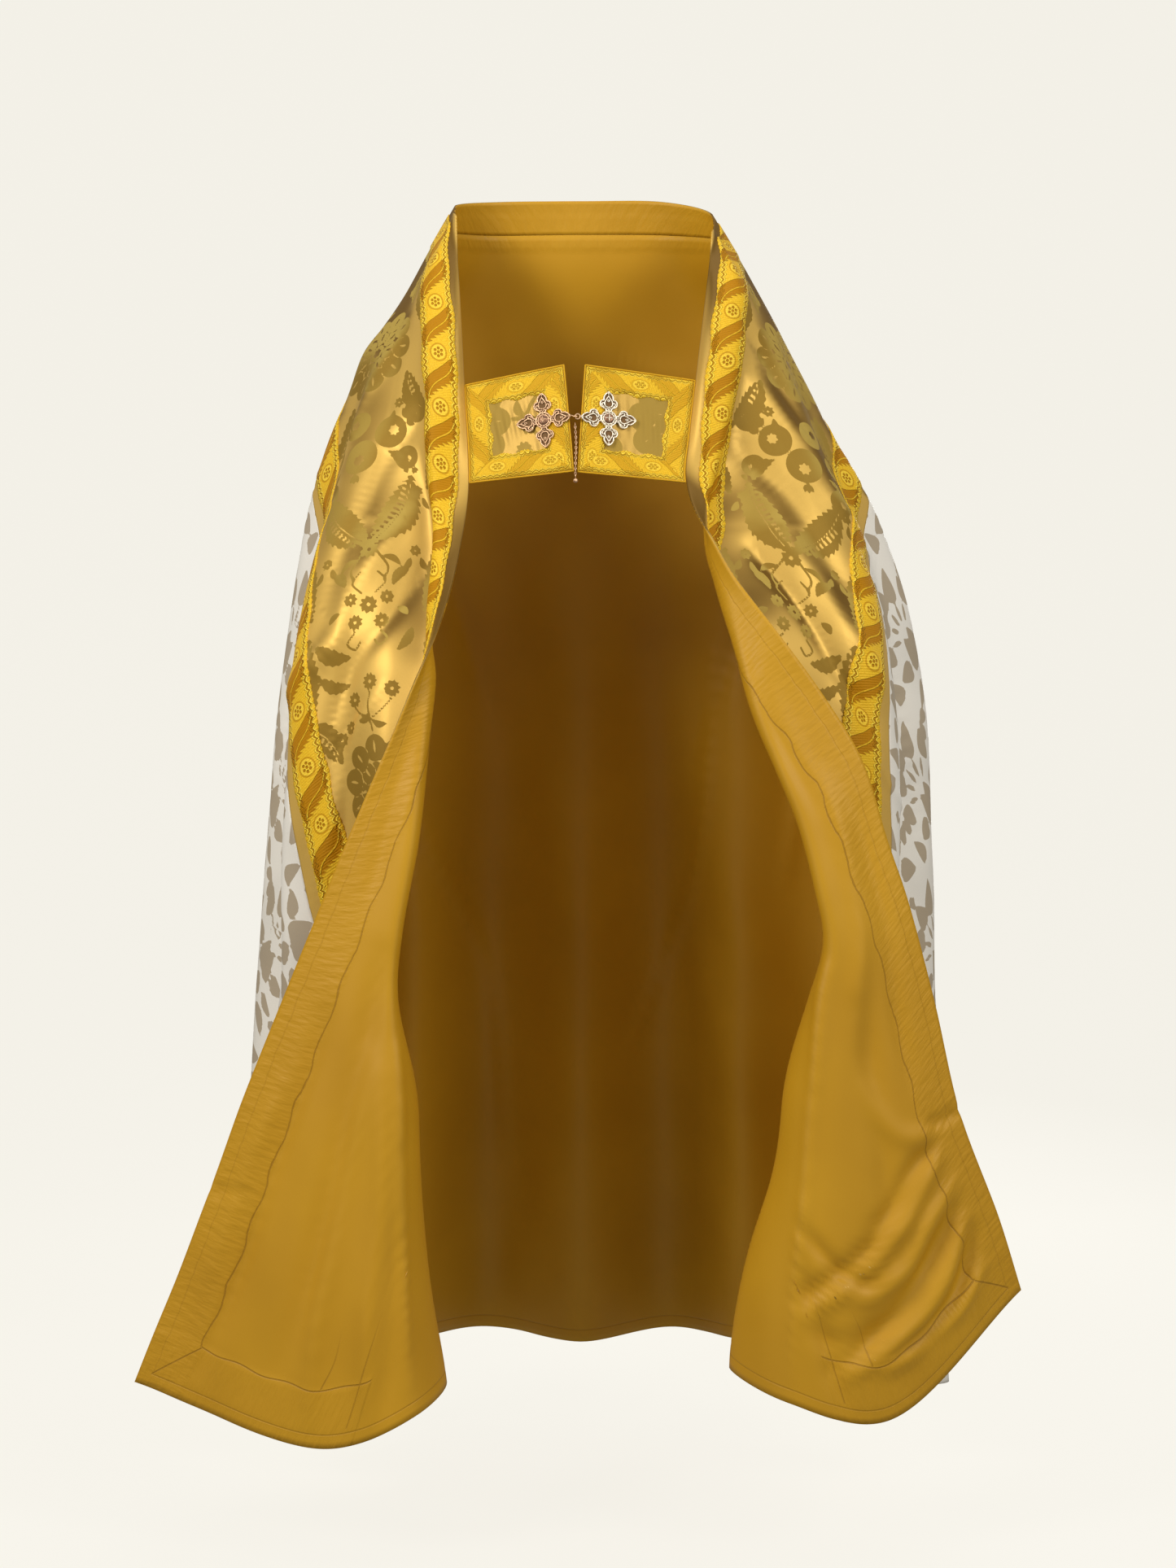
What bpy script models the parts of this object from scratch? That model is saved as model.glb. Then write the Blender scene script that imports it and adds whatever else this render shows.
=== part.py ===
"""A cope: a half-circle cloak worn open down the front, held by a two-part clasp.

Metres, +Z up. The front faces -Y. The origin is the nape, where the shoulders hold the cloak.
The cloak is laid out flat as a half circle and mapped onto the shape it takes when worn:
    s  distance along the straight edge from the nape, minus to the wearer's right
    t  distance from the straight edge
Every panel and braid is cut from one flat net, so that all of them follow the same cloth.
"""
import math

import bmesh
import bpy
import numpy as np

# Flat cut of the cloak
REACH = 1.60            # radius of the half circle, nape to hem
NECK = 0.20             # half length of the straight edge that stands round the neck
BAND = 0.293            # width of the gold band
BRAID_IN = 0.017        # braid set in from the edge
BRAID_WIDE = 0.048
COLLAR_SEAM = 0.028     # height of the collar lining, as a share of the drop

# Thickness of the layers, measured from the middle of the cloth along its normal
FACE = (0.00015, 0.00145)
LINING = (-0.00125, -0.00015)
BRAID = (0.00175, 0.00285)
SEAM_GAP = 0.00017         # half the gap at a seam
SEAM_NEAR = {"s": 2e-5, "t": 2e-5, "drop": 1e-3}

# View that the drape lines were read from: eye point and size of one step at one metre
EYE = (0.010, -3.45, -0.70)
STEP = 0.00095 / 3.2
MIDDLE = (722.5, 963.5)

# Drape lines, each read from collar to hem: across, down, depth behind the shoulder line
EDGE_LEFT = [
    (560, 265, -0.020), (563, 330, -0.060), (567, 400, -0.093), (571, 480, -0.122),
    (576, 596, -0.153), (564, 681, -0.199), (549, 740, -0.243), (533, 785, -0.274),
    (505, 851, -0.288), (448, 982, -0.284), (378, 1153, -0.268), (306, 1332, -0.250),
    (235, 1525, -0.225), (166, 1698, -0.200),
]
EDGE_RIGHT = [
    (875, 285, -0.020), (870, 340, -0.061), (864, 400, -0.093), (857, 460, -0.118),
    (848, 535, -0.140), (843, 586, -0.162), (851, 620, -0.190), (869, 652, -0.221),
    (908, 716, -0.260), (960, 783, -0.276),
    (1012, 855, -0.276), (1058, 933, -0.276), (1090, 1034, -0.272), (1115, 1107, -0.266),
    (1147, 1228, -0.256), (1179, 1368, -0.245), (1229, 1500, -0.225), (1254, 1585, -0.205),
]
FOLD_LEFT = [
    (558, 262, 0.000), (531, 345, -0.066), (527, 400, -0.096), (525, 453, -0.118),
    (527, 520, -0.139), (532, 596, -0.156), (535, 645, -0.176), (533, 690, -0.195),
    (528, 740, -0.218), (527, 789, -0.242), (531, 833, -0.261),
    (523, 907, -0.279), (507, 1036, -0.294), (482, 1210, -0.300), (489, 1340, -0.305),
    (495, 1583, -0.305), (511, 1740, -0.305),
]
FOLD_RIGHT = [
    (876, 282, 0.000), (903, 345, -0.066), (907, 400, -0.096), (901, 450, -0.116),
    (894, 500, -0.133), (882, 556, -0.149), (872, 596, -0.165), (868, 642, -0.196),
    (873, 684, -0.217), (883, 716, -0.233), (900, 770, -0.257), (928, 868, -0.281),
    (960, 949, -0.294), (986, 1014, -0.300), (1008, 1095, -0.305), (1020, 1160, -0.305),
    (1009, 1230, -0.305), (998, 1337, -0.305), (988, 1459, -0.305), (976, 1570, -0.305),
    (969, 1724, -0.305),
]
ARM_LEFT = [
    (559, 258, 0.030), (516, 345, -0.015), (498, 400, -0.045), (478, 500, -0.085),
    (452, 600, -0.122), (428, 700, -0.160), (412, 800, -0.185), (404, 960, -0.200),
    (400, 1160, -0.190), (395, 1400, -0.175), (390, 1700, -0.160),
]
ARM_RIGHT = [
    (877, 278, 0.030), (918, 345, -0.015), (938, 400, -0.045), (960, 500, -0.085),
    (992, 600, -0.120), (1018, 700, -0.150), (1040, 800, -0.180), (1056, 960, -0.195),
    (1066, 1160, -0.185), (1068, 1400, -0.170), (1070, 1700, -0.160),
]
SIDE_LEFT = [
    (563, 252, 0.055), (518, 330, 0.036), (475, 400, 0.020), (448, 435, 0.014),
    (431, 480, 0.008), (401, 570, 0.010), (387, 634, 0.020), (370, 740, 0.030),
    (356, 877, 0.030),
    (350, 1000, 0.030), (345, 1160, 0.030), (340, 1330, 0.030), (335, 1700, 0.030),
]
SIDE_RIGHT = [
    (872, 262, 0.055), (914, 335, 0.034), (953, 400, 0.014), (1003, 500, -0.008),
    (1050, 600, -0.008), (1071, 645, 0.006), (1105, 747, 0.026), (1124, 884, 0.030),
    (1126, 1050, 0.030), (1124, 1160, 0.030), (1124, 1330, 0.030), (1126, 1700, 0.030),
]
# Back lines in metres: out from the middle, depth, height
QUARTER = [
    (0.108, 0.098, 0.053), (0.128, 0.118, -0.015), (0.190, 0.138, -0.095),
    (0.245, 0.155, -0.220), (0.275, 0.180, -0.400), (0.288, 0.205, -0.620),
    (0.298, 0.230, -0.880), (0.308, 0.260, -1.160), (0.318, 0.290, -1.450),
]
BACK = [
    (0.0, 0.115, 0.058), (0.0, 0.126, -0.020), (0.0, 0.160, -0.110), (0.0, 0.198, -0.240),
    (0.0, 0.228, -0.400), (0.0, 0.255, -0.620), (0.0, 0.285, -0.880), (0.0, 0.320, -1.160),
    (0.0, 0.355, -1.465),
]
# Tuck behind each front fold by share of the drop: inward, back
TUCK_LEFT = [
    (0.00, 0.000, 0.012), (0.10, -0.012, 0.014), (0.22, -0.010, 0.018),
    (0.35, 0.000, 0.028), (0.66, 0.000, 0.032), (0.78, 0.018, 0.055), (1.00, 0.026, 0.090),
]
TUCK_RIGHT = [
    (0.00, 0.000, 0.012), (0.10, -0.012, 0.014), (0.20, -0.010, 0.018),
    (0.33, 0.000, 0.028), (0.62, 0.000, 0.032), (0.78, 0.026, 0.060), (1.00, 0.062, 0.090),
]
# Belly of each turned-out front at the hem: place from edge to fold, forward, down
BELLY_LEFT = (0.70, 0.022, 0.045)
BELLY_RIGHT = (0.60, 0.022, 0.070)
# Flutes: place between the drape lines, outward swing at the hem, share of the drop they start
FLUTES_LEFT = [
    (3.0, 0.000, 0.00), (3.45, 0.018, 0.30), (3.85, -0.036, 0.30), (4.28, 0.040, 0.12),
    (4.70, -0.046, 0.12), (5.12, 0.048, 0.20), (5.50, -0.056, 0.24), (5.88, 0.050, 0.24),
    (6.27, -0.058, 0.26), (6.64, 0.048, 0.26), (7.0, -0.044, 0.26),
]
FLUTES_RIGHT = [
    (3.0, 0.000, 0.00), (3.40, 0.018, 0.30), (3.80, -0.038, 0.30), (4.24, 0.024, 0.12),
    (4.68, -0.050, 0.12), (5.08, 0.044, 0.20), (5.47, -0.052, 0.24), (5.90, 0.056, 0.24),
    (6.30, -0.056, 0.26), (6.66, 0.044, 0.26), (7.0, -0.044, 0.26),
]

# Net: share of the drop for each row, and place between the drape lines for each column
ROWS = [
    0.0, 0.028, 0.085, 0.145, 0.200, 0.240, 0.268, 0.300, 0.350, 0.420, 0.510, 0.640, 0.800,
    0.9536, 0.9879, 1.0,
]
WING_COLUMNS = [0.0, 0.45, 0.90, 1.35, 1.72, 1.93, 2.12, 2.52]
LINES = 7               # spans between drape lines from the front edge to the back
SAMPLES = 28            # points worked out in each span
LEVELS = 160            # rows in the worn shape


def sight(row):
    """Move a point read in the view along its line of sight to its depth."""
    across, down, depth = row
    scale = STEP * (depth - EYE[1])
    return (EYE[0] + (across - MIDDLE[0]) * scale, depth, EYE[2] + (MIDDLE[1] - down) * scale)


def smooth(points, per_span):
    """Smooth curve through points, with per_span steps between each two."""
    points = np.asarray(points, float)
    path = np.vstack([2 * points[0] - points[1], points, 2 * points[-1] - points[-2]])
    gaps = np.sqrt(np.maximum(np.linalg.norm(np.diff(path, axis=0), axis=1), 1e-6))
    times = np.concatenate([[0.0], np.cumsum(gaps)])
    steps = np.arange(per_span) / per_span
    found = []
    for k in range(len(points) - 1):
        t0, t1, t2, t3 = times[k:k + 4]
        p0, p1, p2, p3 = path[k:k + 4]
        t = (t1 + (t2 - t1) * steps)[:, None]
        a1 = p0 + (p1 - p0) * (t - t0) / (t1 - t0)
        a2 = p1 + (p2 - p1) * (t - t1) / (t2 - t1)
        a3 = p2 + (p3 - p2) * (t - t2) / (t3 - t2)
        b1 = a1 + (a2 - a1) * (t - t0) / (t2 - t0)
        b2 = a2 + (a3 - a2) * (t - t1) / (t3 - t1)
        found.append(b1 + (b2 - b1) * (t - t1) / (t2 - t1))
    found.append(points[-1:])
    return np.vstack(found)


def lengths(points):
    """Distance along a line of points."""
    return np.concatenate([[0.0], np.cumsum(np.linalg.norm(np.diff(points, axis=0), axis=1))])


def by_drop(points):
    """A drape line as a table over the share of its own length."""
    line = smooth(points, 20)
    along = lengths(line)
    shares = np.linspace(0, 1, LEVELS + 1) * along[-1]
    return np.stack([np.interp(shares, along, line[:, k]) for k in range(3)], axis=1)


def ease(x, low, high):
    """0 below low, 1 above high and a soft step between."""
    x = np.clip((x - low) / (high - low), 0, 1)
    return x * x * (3 - 2 * x)


def half_lines(side, edge, fold, arm, flank, tuck, belly):
    """Drape lines of one half, from the front edge to the back, as LEVELS + 1 points each."""
    drop = np.linspace(0, 1, LEVELS + 1)
    edge = by_drop([sight(row) for row in edge])
    fold = by_drop([sight(row) for row in fold])
    arm = by_drop([sight(row) for row in arm])
    flank = by_drop([sight(row) for row in flank])
    quarter = by_drop([(side * out, depth, height) for out, depth, height in QUARTER])
    place, forward, down = belly
    grow = ease(drop, 0.5, 1.0)[:, None]
    swell = np.array([0.0, -forward, -down])
    roll = ease(drop, 0.0, 0.12) * (1 - ease(drop, 0.16, 0.28))
    curl = np.array([-side * 0.011, -0.010, 0.0]) * roll[:, None]
    middle = edge + (0.45 + (place - 0.45) * grow) * (fold - edge) + swell * grow + curl
    rows = np.array(tuck)
    inward = smooth_table(drop, rows[:, 0], rows[:, 1])
    back = smooth_table(drop, rows[:, 0], rows[:, 2])
    behind = fold + np.stack([-side * inward, back, 0.024 * ease(drop, 0.8, 1.0)], axis=1)
    return [edge, middle, fold, behind, arm, flank, quarter]


def smooth_table(x, places, values):
    """Value between table rows, with a soft step from each row to the next."""
    spot = np.clip(np.searchsorted(places, x, side="right") - 1, 0, len(places) - 2)
    low, high = places[spot], places[spot + 1]
    share = np.clip((x - low) / (high - low), 0, 1)
    share = share * share * (3 - 2 * share)
    return values[spot] + (values[spot + 1] - values[spot]) * share


def swing(places, drop, table):
    """Outward swing of the flutes at each place of a row."""
    rows = np.array(table)
    sizes = rows[:, 1] * np.clip((drop - rows[:, 2]) / (1 - rows[:, 2]), 0, 1) ** 0.8
    return smooth_table(places, rows[:, 0], sizes)


def worn_rows():
    """Worn shape as rows of points: (level, place in the row), with length along each row."""
    left = half_lines(-1, EDGE_LEFT, FOLD_LEFT, ARM_LEFT, SIDE_LEFT, TUCK_LEFT, BELLY_LEFT)
    right = half_lines(1, EDGE_RIGHT, FOLD_RIGHT, ARM_RIGHT, SIDE_RIGHT, TUCK_RIGHT, BELLY_RIGHT)
    lines = np.stack(left + [by_drop(BACK)] + right[::-1])
    places = np.arange(2 * LINES * SAMPLES + 1) / SAMPLES
    rows = []
    for level in range(LEVELS + 1):
        drop = level / LEVELS
        row = smooth(lines[:, level], SAMPLES)
        ahead = np.gradient(row, axis=0)
        outward = np.stack([-ahead[:, 1], ahead[:, 0]], axis=1)
        outward /= np.maximum(np.linalg.norm(outward, axis=1), 1e-9)[:, None]
        near = np.where(places <= LINES,
                        swing(places, drop, FLUTES_LEFT),
                        swing(2 * LINES - places, drop, FLUTES_RIGHT))
        row[:, :2] += outward * near[:, None]
        rows.append(row)
    rows = np.array(rows)
    along = np.array([lengths(row) for row in rows])
    return rows, along


ROWS_WORN, ALONG = worn_rows()
MID = LINES * SAMPLES


def row_at(drop):
    """Row of the worn shape at any share of the drop."""
    spot = min(max(drop, 0.0), 1.0) * LEVELS
    low = min(int(spot), LEVELS - 1)
    share = spot - low
    points = ROWS_WORN[low] * (1 - share) + ROWS_WORN[low + 1] * share
    return points, ALONG[low] * (1 - share) + ALONG[low + 1] * share


def flat_polar(s, t):
    """Distance from the neck, turn from the straight edge and share of the drop."""
    out = abs(s)
    if out <= NECK:
        return t, t * math.pi / 2 + NECK - out, t / math.sqrt(REACH ** 2 - s ** 2)
    reach = math.hypot(out - NECK, t)
    turn = math.atan2(t, out - NECK)
    full = -NECK * math.cos(turn) + math.sqrt(REACH ** 2 - (NECK * math.sin(turn)) ** 2)
    return reach, reach * turn, reach / full


def to_worn_length(arc, reach, whole):
    """Length along the worn row for a length along the flat row."""
    flat_whole = reach * math.pi / 2 + NECK
    free = min(0.32, 0.6 * flat_whole, 0.8 * whole)
    if arc <= free:
        return arc
    return free + (arc - free) * (whole - free) / (flat_whole - free)


def to_flat_length(arc, reach, whole):
    """Length along the flat row for a length along the worn row."""
    flat_whole = reach * math.pi / 2 + NECK
    free = min(0.32, 0.6 * flat_whole, 0.8 * whole)
    if arc <= free:
        return arc
    return free + (arc - free) * (flat_whole - free) / (whole - free)


def worn_at(side, drop, arc):
    """Point of the worn shape at a length along the row from the front edge."""
    points, along = row_at(drop)
    spot = arc if side < 0 else along[-1] - arc
    return np.array([np.interp(spot, along, points[:, k]) for k in range(3)])


def half_length(side, drop):
    """Length of one half of a row."""
    _, along = row_at(drop)
    return along[MID] if side < 0 else along[-1] - along[MID]


def worn(s, t):
    """Point of the worn shape for a point of the flat cut."""
    side = -1 if s < 0 else 1
    t = max(t, 0.0)
    reach, arc, drop = flat_polar(s, t)
    arc = to_worn_length(arc, reach, half_length(side, drop))
    return worn_at(side, drop, arc)


def flat(side, drop, place):
    """Point of the flat cut for a share of the drop and a place between the drape lines."""
    _, along = row_at(drop)
    here = np.interp(place, np.arange(len(along)) / SAMPLES, along)
    whole = along[MID] if side < 0 else along[-1] - along[MID]
    arc = here if side < 0 else along[-1] - here
    turn = math.pi / 4
    for _ in range(40):
        full = -NECK * math.cos(turn) + math.sqrt(REACH ** 2 - (NECK * math.sin(turn)) ** 2)
        reach = max(drop * full, 1e-9)
        flat_arc = to_flat_length(min(arc, whole), reach, whole)
        turn = 0.5 * turn + 0.5 * min(flat_arc / reach, math.pi / 2)
    if flat_arc <= reach * math.pi / 2 and drop > 0:
        return side * (NECK + reach * math.cos(turn)), reach * math.sin(turn)
    out = NECK
    for _ in range(40):
        reach = drop * math.sqrt(REACH ** 2 - out ** 2)
        flat_arc = to_flat_length(min(arc, whole), reach, whole)
        out = 0.5 * out + 0.5 * min(max(NECK - (flat_arc - reach * math.pi / 2), 0.0), NECK)
    return side * out, reach


def net_shape(net):
    """Worn point and outward direction of each corner of the net."""
    points, outward = {}, {}
    for face in net:
        for corner in face:
            if corner not in points:
                points[corner] = worn(*corner)
                outward[corner] = np.zeros(3)
    for face in net:
        here = [points[corner] for corner in face]
        square = np.cross(here[1] - here[0], here[2] - here[0])
        square /= np.linalg.norm(square)
        for k in range(3):
            one, two = here[(k + 1) % 3] - here[k], here[k - 1] - here[k]
            cosine = one.dot(two) / np.linalg.norm(one) / np.linalg.norm(two)
            outward[face[k]] += square * math.acos(max(min(cosine, 1.0), -1.0))
    for corner in outward:
        outward[corner] /= np.linalg.norm(outward[corner])
    return points, outward


def body_columns(table):
    """Columns behind the fold, closer together where the flutes are deep."""
    places = [row[0] for row in table]
    found = [places[0]]
    for k, (low, high) in enumerate(zip(places, places[1:])):
        shares = (0.5, 1.0) if k < 2 else (1 / 6, 0.5, 5 / 6)
        found += [low + (high - low) * share for share in shares]
    if found[-1] < places[-1]:
        found.append(places[-1])
    return found


def flat_net():
    """The flat cut as one net of quads, cut along the borders of the band and its braids."""
    left = [(-1, place) for place in WING_COLUMNS + body_columns(FLUTES_LEFT)]
    right = [(1, 2 * LINES - place)
             for place in (WING_COLUMNS + body_columns(FLUTES_RIGHT))[-2::-1]]
    net = bmesh.new()
    grid = []
    for drop in ROWS:
        grid.append([net.verts.new((*flat(side, drop, place), 0)) for side, place in left + right])
    for upper, lower in zip(grid, grid[1:]):
        for k in range(len(upper) - 1):
            net.faces.new((upper[k], lower[k], lower[k + 1], upper[k + 1]))
    for line in (BRAID_IN, BRAID_IN + BRAID_WIDE, BAND - BRAID_IN - BRAID_WIDE, BAND - BRAID_IN,
                 BAND):
        snap = 0.0035 if line > 0.1 else 0.0015
        for vert in net.verts:
            if abs(vert.co.y - line) < snap:
                vert.co.y = line
        parts = net.verts[:] + net.edges[:] + net.faces[:]
        bmesh.ops.bisect_plane(net, geom=parts, dist=1e-6, plane_co=(0, line, 0),
                               plane_no=(0, 1, 0))
    bmesh.ops.triangulate(net, faces=net.faces[:], quad_method="BEAUTY", ngon_method="BEAUTY")
    return net


def seam_shift(s, t, kind, direction, outward):
    """Half a seam gap across a seam line, within the cloth."""
    step = 0.002
    side = -1 if s < 0 or (s == 0 and direction < 0) else 1
    here = worn(s, t)
    if kind == "t":
        along = worn(s + step, t) - worn(s - step, t)
        toward = worn(s, t + step) - worn(s, t - step)
    elif kind == "s":
        along = worn(s, t + step) - here
        toward = worn(step, t) - worn(-step, t)
    else:
        reach, arc, drop = flat_polar(s, t)
        arc = to_worn_length(arc, reach, half_length(side, drop))
        along = worn_at(side, drop, arc + step) - worn_at(side, drop, max(arc - step, 0.0))
        toward = worn_at(side, drop + step, arc) - worn_at(side, drop - step, arc)
    across = np.cross(along, outward)
    across *= direction * (1 if across.dot(toward) > 0 else -1)
    return across / np.linalg.norm(across) * SEAM_GAP


def cloth_solid(name, net, shape, keep, heights, lines, material):
    """Closed panel from the triangles of the net that keep() picks.

    heights: inner and outer height above the middle of the cloth
    lines: seam borders of the piece as (kind, value, direction into the piece)
    """
    picked = []
    for face in net:
        s = sum(p[0] for p in face) / 3
        t = sum(p[1] for p in face) / 3
        if keep(s, t, flat_polar(s, t)[2]):
            picked.append(face)
    index, flat_points, faces = {}, [], []
    for face in picked:
        corners = []
        for point in face:
            if point not in index:
                index[point] = len(flat_points)
                flat_points.append(point)
            corners.append(index[point])
        faces.append(corners)
    rims = {}
    for a, b, c in faces:
        for edge in ((a, b), (b, c), (c, a)):
            if (edge[1], edge[0]) in rims:
                del rims[(edge[1], edge[0])]
            else:
                rims[edge] = True
    low, high = [], []
    for s, t in flat_points:
        here = {"s": s, "t": t, "drop": flat_polar(s, t)[2]}
        middle, outward = shape[0][(s, t)], shape[1][(s, t)]
        for kind, value, direction in lines:
            if abs(here[kind] - value) < SEAM_NEAR[kind]:
                middle = middle + seam_shift(s, t, kind, direction, outward)
        low.append(middle + outward * heights[0])
        high.append(middle + outward * heights[1])
    count = len(flat_points)
    solid = [tuple(corners) for corners in faces]
    solid += [(c + count, b + count, a + count) for a, b, c in faces]
    for a, b in rims:
        if flat_points[a] < flat_points[b]:
            solid += [(b, a, b + count), (a, a + count, b + count)]
        else:
            solid += [(b, a, a + count), (b, a + count, b + count)]
    return add_object(name, [tuple(p) for p in high + low], solid, material)


def add_object(name, points, faces, material):
    """New object with one material."""
    mesh = bpy.data.meshes.new(name)
    mesh.from_pydata(points, [], faces)
    mesh.validate()
    mesh.update()
    made = bpy.data.objects.new(name, mesh)
    bpy.context.collection.objects.link(made)
    look = bpy.data.materials.new(name + "_" + material)
    look.use_nodes = True
    shader = look.node_tree.nodes["Principled BSDF"]
    colour, metal, rough = MATERIALS[material]
    shader.inputs["Base Color"].default_value = (*colour, 1.0)
    shader.inputs["Metallic"].default_value = metal
    shader.inputs["Roughness"].default_value = rough
    mesh.materials.append(look)
    return made


# Colour, metal and roughness
MATERIALS = {
    "ivory_damask": ((0.62, 0.54, 0.43), 0.0, 0.55),
    "gold_damask": ((0.62, 0.42, 0.13), 0.0, 0.45),
    "gold_braid": ((0.80, 0.50, 0.06), 0.0, 0.50),
    "mustard_lining": ((0.52, 0.31, 0.05), 0.0, 0.60),
    "gilt_metal": ((0.80, 0.62, 0.38), 1.0, 0.30),
    "dark_stone": ((0.30, 0.20, 0.12), 0.2, 0.20),
}


def make_cloth():
    """Panels, lining and braids of the cloak."""
    bm = flat_net()
    net = []
    for face in bm.faces:
        points = [(vert.co.x, vert.co.y) for vert in face.verts]
        (ax, ay), (bx, by), (cx, cy) = points
        area = (bx - ax) * (cy - ay) - (by - ay) * (cx - ax)
        net.append(tuple(points if area > 0 else points[::-1]))
    bm.free()
    shape = net_shape(net)
    outer_low = BAND - BRAID_IN - BRAID_WIDE
    outer_high = BAND - BRAID_IN
    inner_high = BRAID_IN + BRAID_WIDE
    hem_high, hem_low = ROWS[-3], ROWS[-2]
    cloth_solid("body_panel", net, shape, lambda s, t, drop: t > BAND, FACE,
                [("t", BAND, 1)], "ivory_damask")
    cloth_solid("lining_main", net, shape, lambda s, t, drop: drop > COLLAR_SEAM, LINING,
                [("drop", COLLAR_SEAM, 1)], "mustard_lining")
    cloth_solid("lining_collar", net, shape, lambda s, t, drop: drop < COLLAR_SEAM, LINING,
                [("drop", COLLAR_SEAM, -1)], "mustard_lining")
    for side, word in ((-1, "left"), (1, "right")):
        middle = ("s", 0.0, side)
        cloth_solid("orphrey_" + word, net, shape,
                    lambda s, t, drop: t < BAND and s * side > 0, FACE,
                    [("t", BAND, -1), middle], "gold_damask")
        cloth_solid("galloon_front_" + word, net, shape,
                    lambda s, t, drop: (BRAID_IN < t < inner_high and s * side > 0
                                        and drop < hem_low), BRAID,
                    [middle], "gold_braid")
        cloth_solid("galloon_outer_" + word, net, shape,
                    lambda s, t, drop: (outer_low < t < outer_high and s * side > 0
                                        and drop < hem_low), BRAID,
                    [middle], "gold_braid")
        cloth_solid("galloon_hem_" + word, net, shape,
                    lambda s, t, drop: (inner_high < t < outer_low and s * side > 0
                                        and hem_high < drop < hem_low), BRAID,
                    [("t", inner_high, 2), ("t", outer_low, -2)], "gold_braid")


# Clasp tab: length along the front edge where each half starts and ends
MORSE_LEFT = (0.4235, 0.536)
MORSE_RIGHT = (0.420, 0.553)
# Inner corners of each half in the view: upper, lower
MORSE_INNER_LEFT = ((693, 449, -0.166), (705, 579, -0.190))
MORSE_INNER_RIGHT = ((719, 449, -0.166), (710, 580, -0.190))
MORSE_THICK = 0.0025
MORSE_ACROSS = [0.0, 0.014, 0.25, 0.5, 0.75, 0.986, 1.0]
MORSE_DOWN = [0.0, 0.014, 0.26, 0.5, 0.74, 0.986, 1.0]
# Where each cross sits on its half: across, down, turn in degrees
CROSS_LEFT = (0.762, 0.497, 0.0)
CROSS_RIGHT = (0.757, 0.482, 4.7)
CROSS_THICK = 0.0024
STONE_ROUND = 0.0058       # radius
STONE_SIDES = 20
# Half of one arm of a cross in millimetres: out, across
CROSS_ARM = [
    (4.6, 4.6), (10.0, 3.4), (13.5, 4.2), (15.0, 8.2), (19.0, 10.2), (23.0, 8.4), (24.0, 5.4),
    (27.5, 5.6), (31.0, 3.4), (34.0, 0.0),
]


def morse_patch(side):
    """Middle surface of one half of the clasp tab, as a function of across and down."""
    start, stop = MORSE_LEFT if side < 0 else MORSE_RIGHT
    inner = MORSE_INNER_LEFT if side < 0 else MORSE_INNER_RIGHT
    upper, lower = (np.array(sight(row)) for row in inner)

    def patch(across, down):
        edge = worn(side * (start + (stop - start) * down), 0.0)
        far = upper + (lower - upper) * down
        ahead = (far - edge) / np.linalg.norm(far - edge)
        near = edge + ahead * 0.0019
        bow = 0.004 * math.sin(math.pi * across) * math.sin(math.pi * (0.15 + 0.7 * down))
        return near + (far - near) * across + np.array([0.0, -bow, 0.0])

    return patch


def patch_frame(patch, across, down):
    """Point, direction across, direction up and front direction of a patch."""
    step = 0.02
    across_low, across_high = max(across - step, 0), min(across + step, 1)
    down_low, down_high = max(down - step, 0), min(down + step, 1)
    ahead = patch(across_high, down) - patch(across_low, down)
    up = patch(across, down_low) - patch(across, down_high)
    front = np.cross(ahead, up)
    front *= -1 if front[1] > 0 else 1
    front /= np.linalg.norm(front)
    up -= front * up.dot(front)
    up /= np.linalg.norm(up)
    return patch(across, down), np.cross(up, front), up, front


def grid_solid(name, patch, across, down, keep, heights, material):
    """Closed plate from the cells of a patch that keep() picks."""
    index, points, faces = {}, [], []
    for i in range(len(down) - 1):
        for j in range(len(across) - 1):
            if not keep(i, j):
                continue
            cell = [(i, j), (i + 1, j), (i + 1, j + 1), (i, j + 1)]
            for corner in cell:
                index.setdefault(corner, len(index))
            a, b, c, d = (index[corner] for corner in cell)
            faces += [(a, b, c), (a, c, d)]
    low, high = [], []
    for i, j in index:
        middle, _, _, front = patch_frame(patch, across[j], down[i])
        low.append(middle + front * heights[0])
        high.append(middle + front * heights[1])
    first = faces[0]
    a, b, c = (high[k] for k in first)
    if np.cross(b - a, c - a).dot(high[0] - low[0]) < 0:
        faces = [face[::-1] for face in faces]
    rims = {}
    for a, b, c in faces:
        for edge in ((a, b), (b, c), (c, a)):
            if (edge[1], edge[0]) in rims:
                del rims[(edge[1], edge[0])]
            else:
                rims[edge] = True
    count = len(index)
    solid = list(faces) + [(c + count, b + count, a + count) for a, b, c in faces]
    for a, b in rims:
        solid += [(b, a, a + count), (b, a + count, b + count)]
    return add_object(name, [tuple(p) for p in high + low], solid, material)


def plate(name, outline, cap, place, heights, material):
    """Flat plate on a frame of point, across, up and front.

    outline: points round the rim, in order
    cap: triangles between those points and the middle of the plate, which comes after them
    """
    middle, ahead, up, front = place
    spots = outline + [(0.0, 0.0)]
    points = []
    for height in heights:
        points += [tuple(middle + ahead * x + up * y + front * height) for x, y in spots]
    count = len(spots)
    faces = [(c, b, a) for a, b, c in cap]
    faces += [(a + count, b + count, c + count) for a, b, c in cap]
    for k in range(len(outline)):
        after = (k + 1) % len(outline)
        faces += [(k, after, after + count), (k, after + count, k + count)]
    return add_object(name, points, faces, material)


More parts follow.
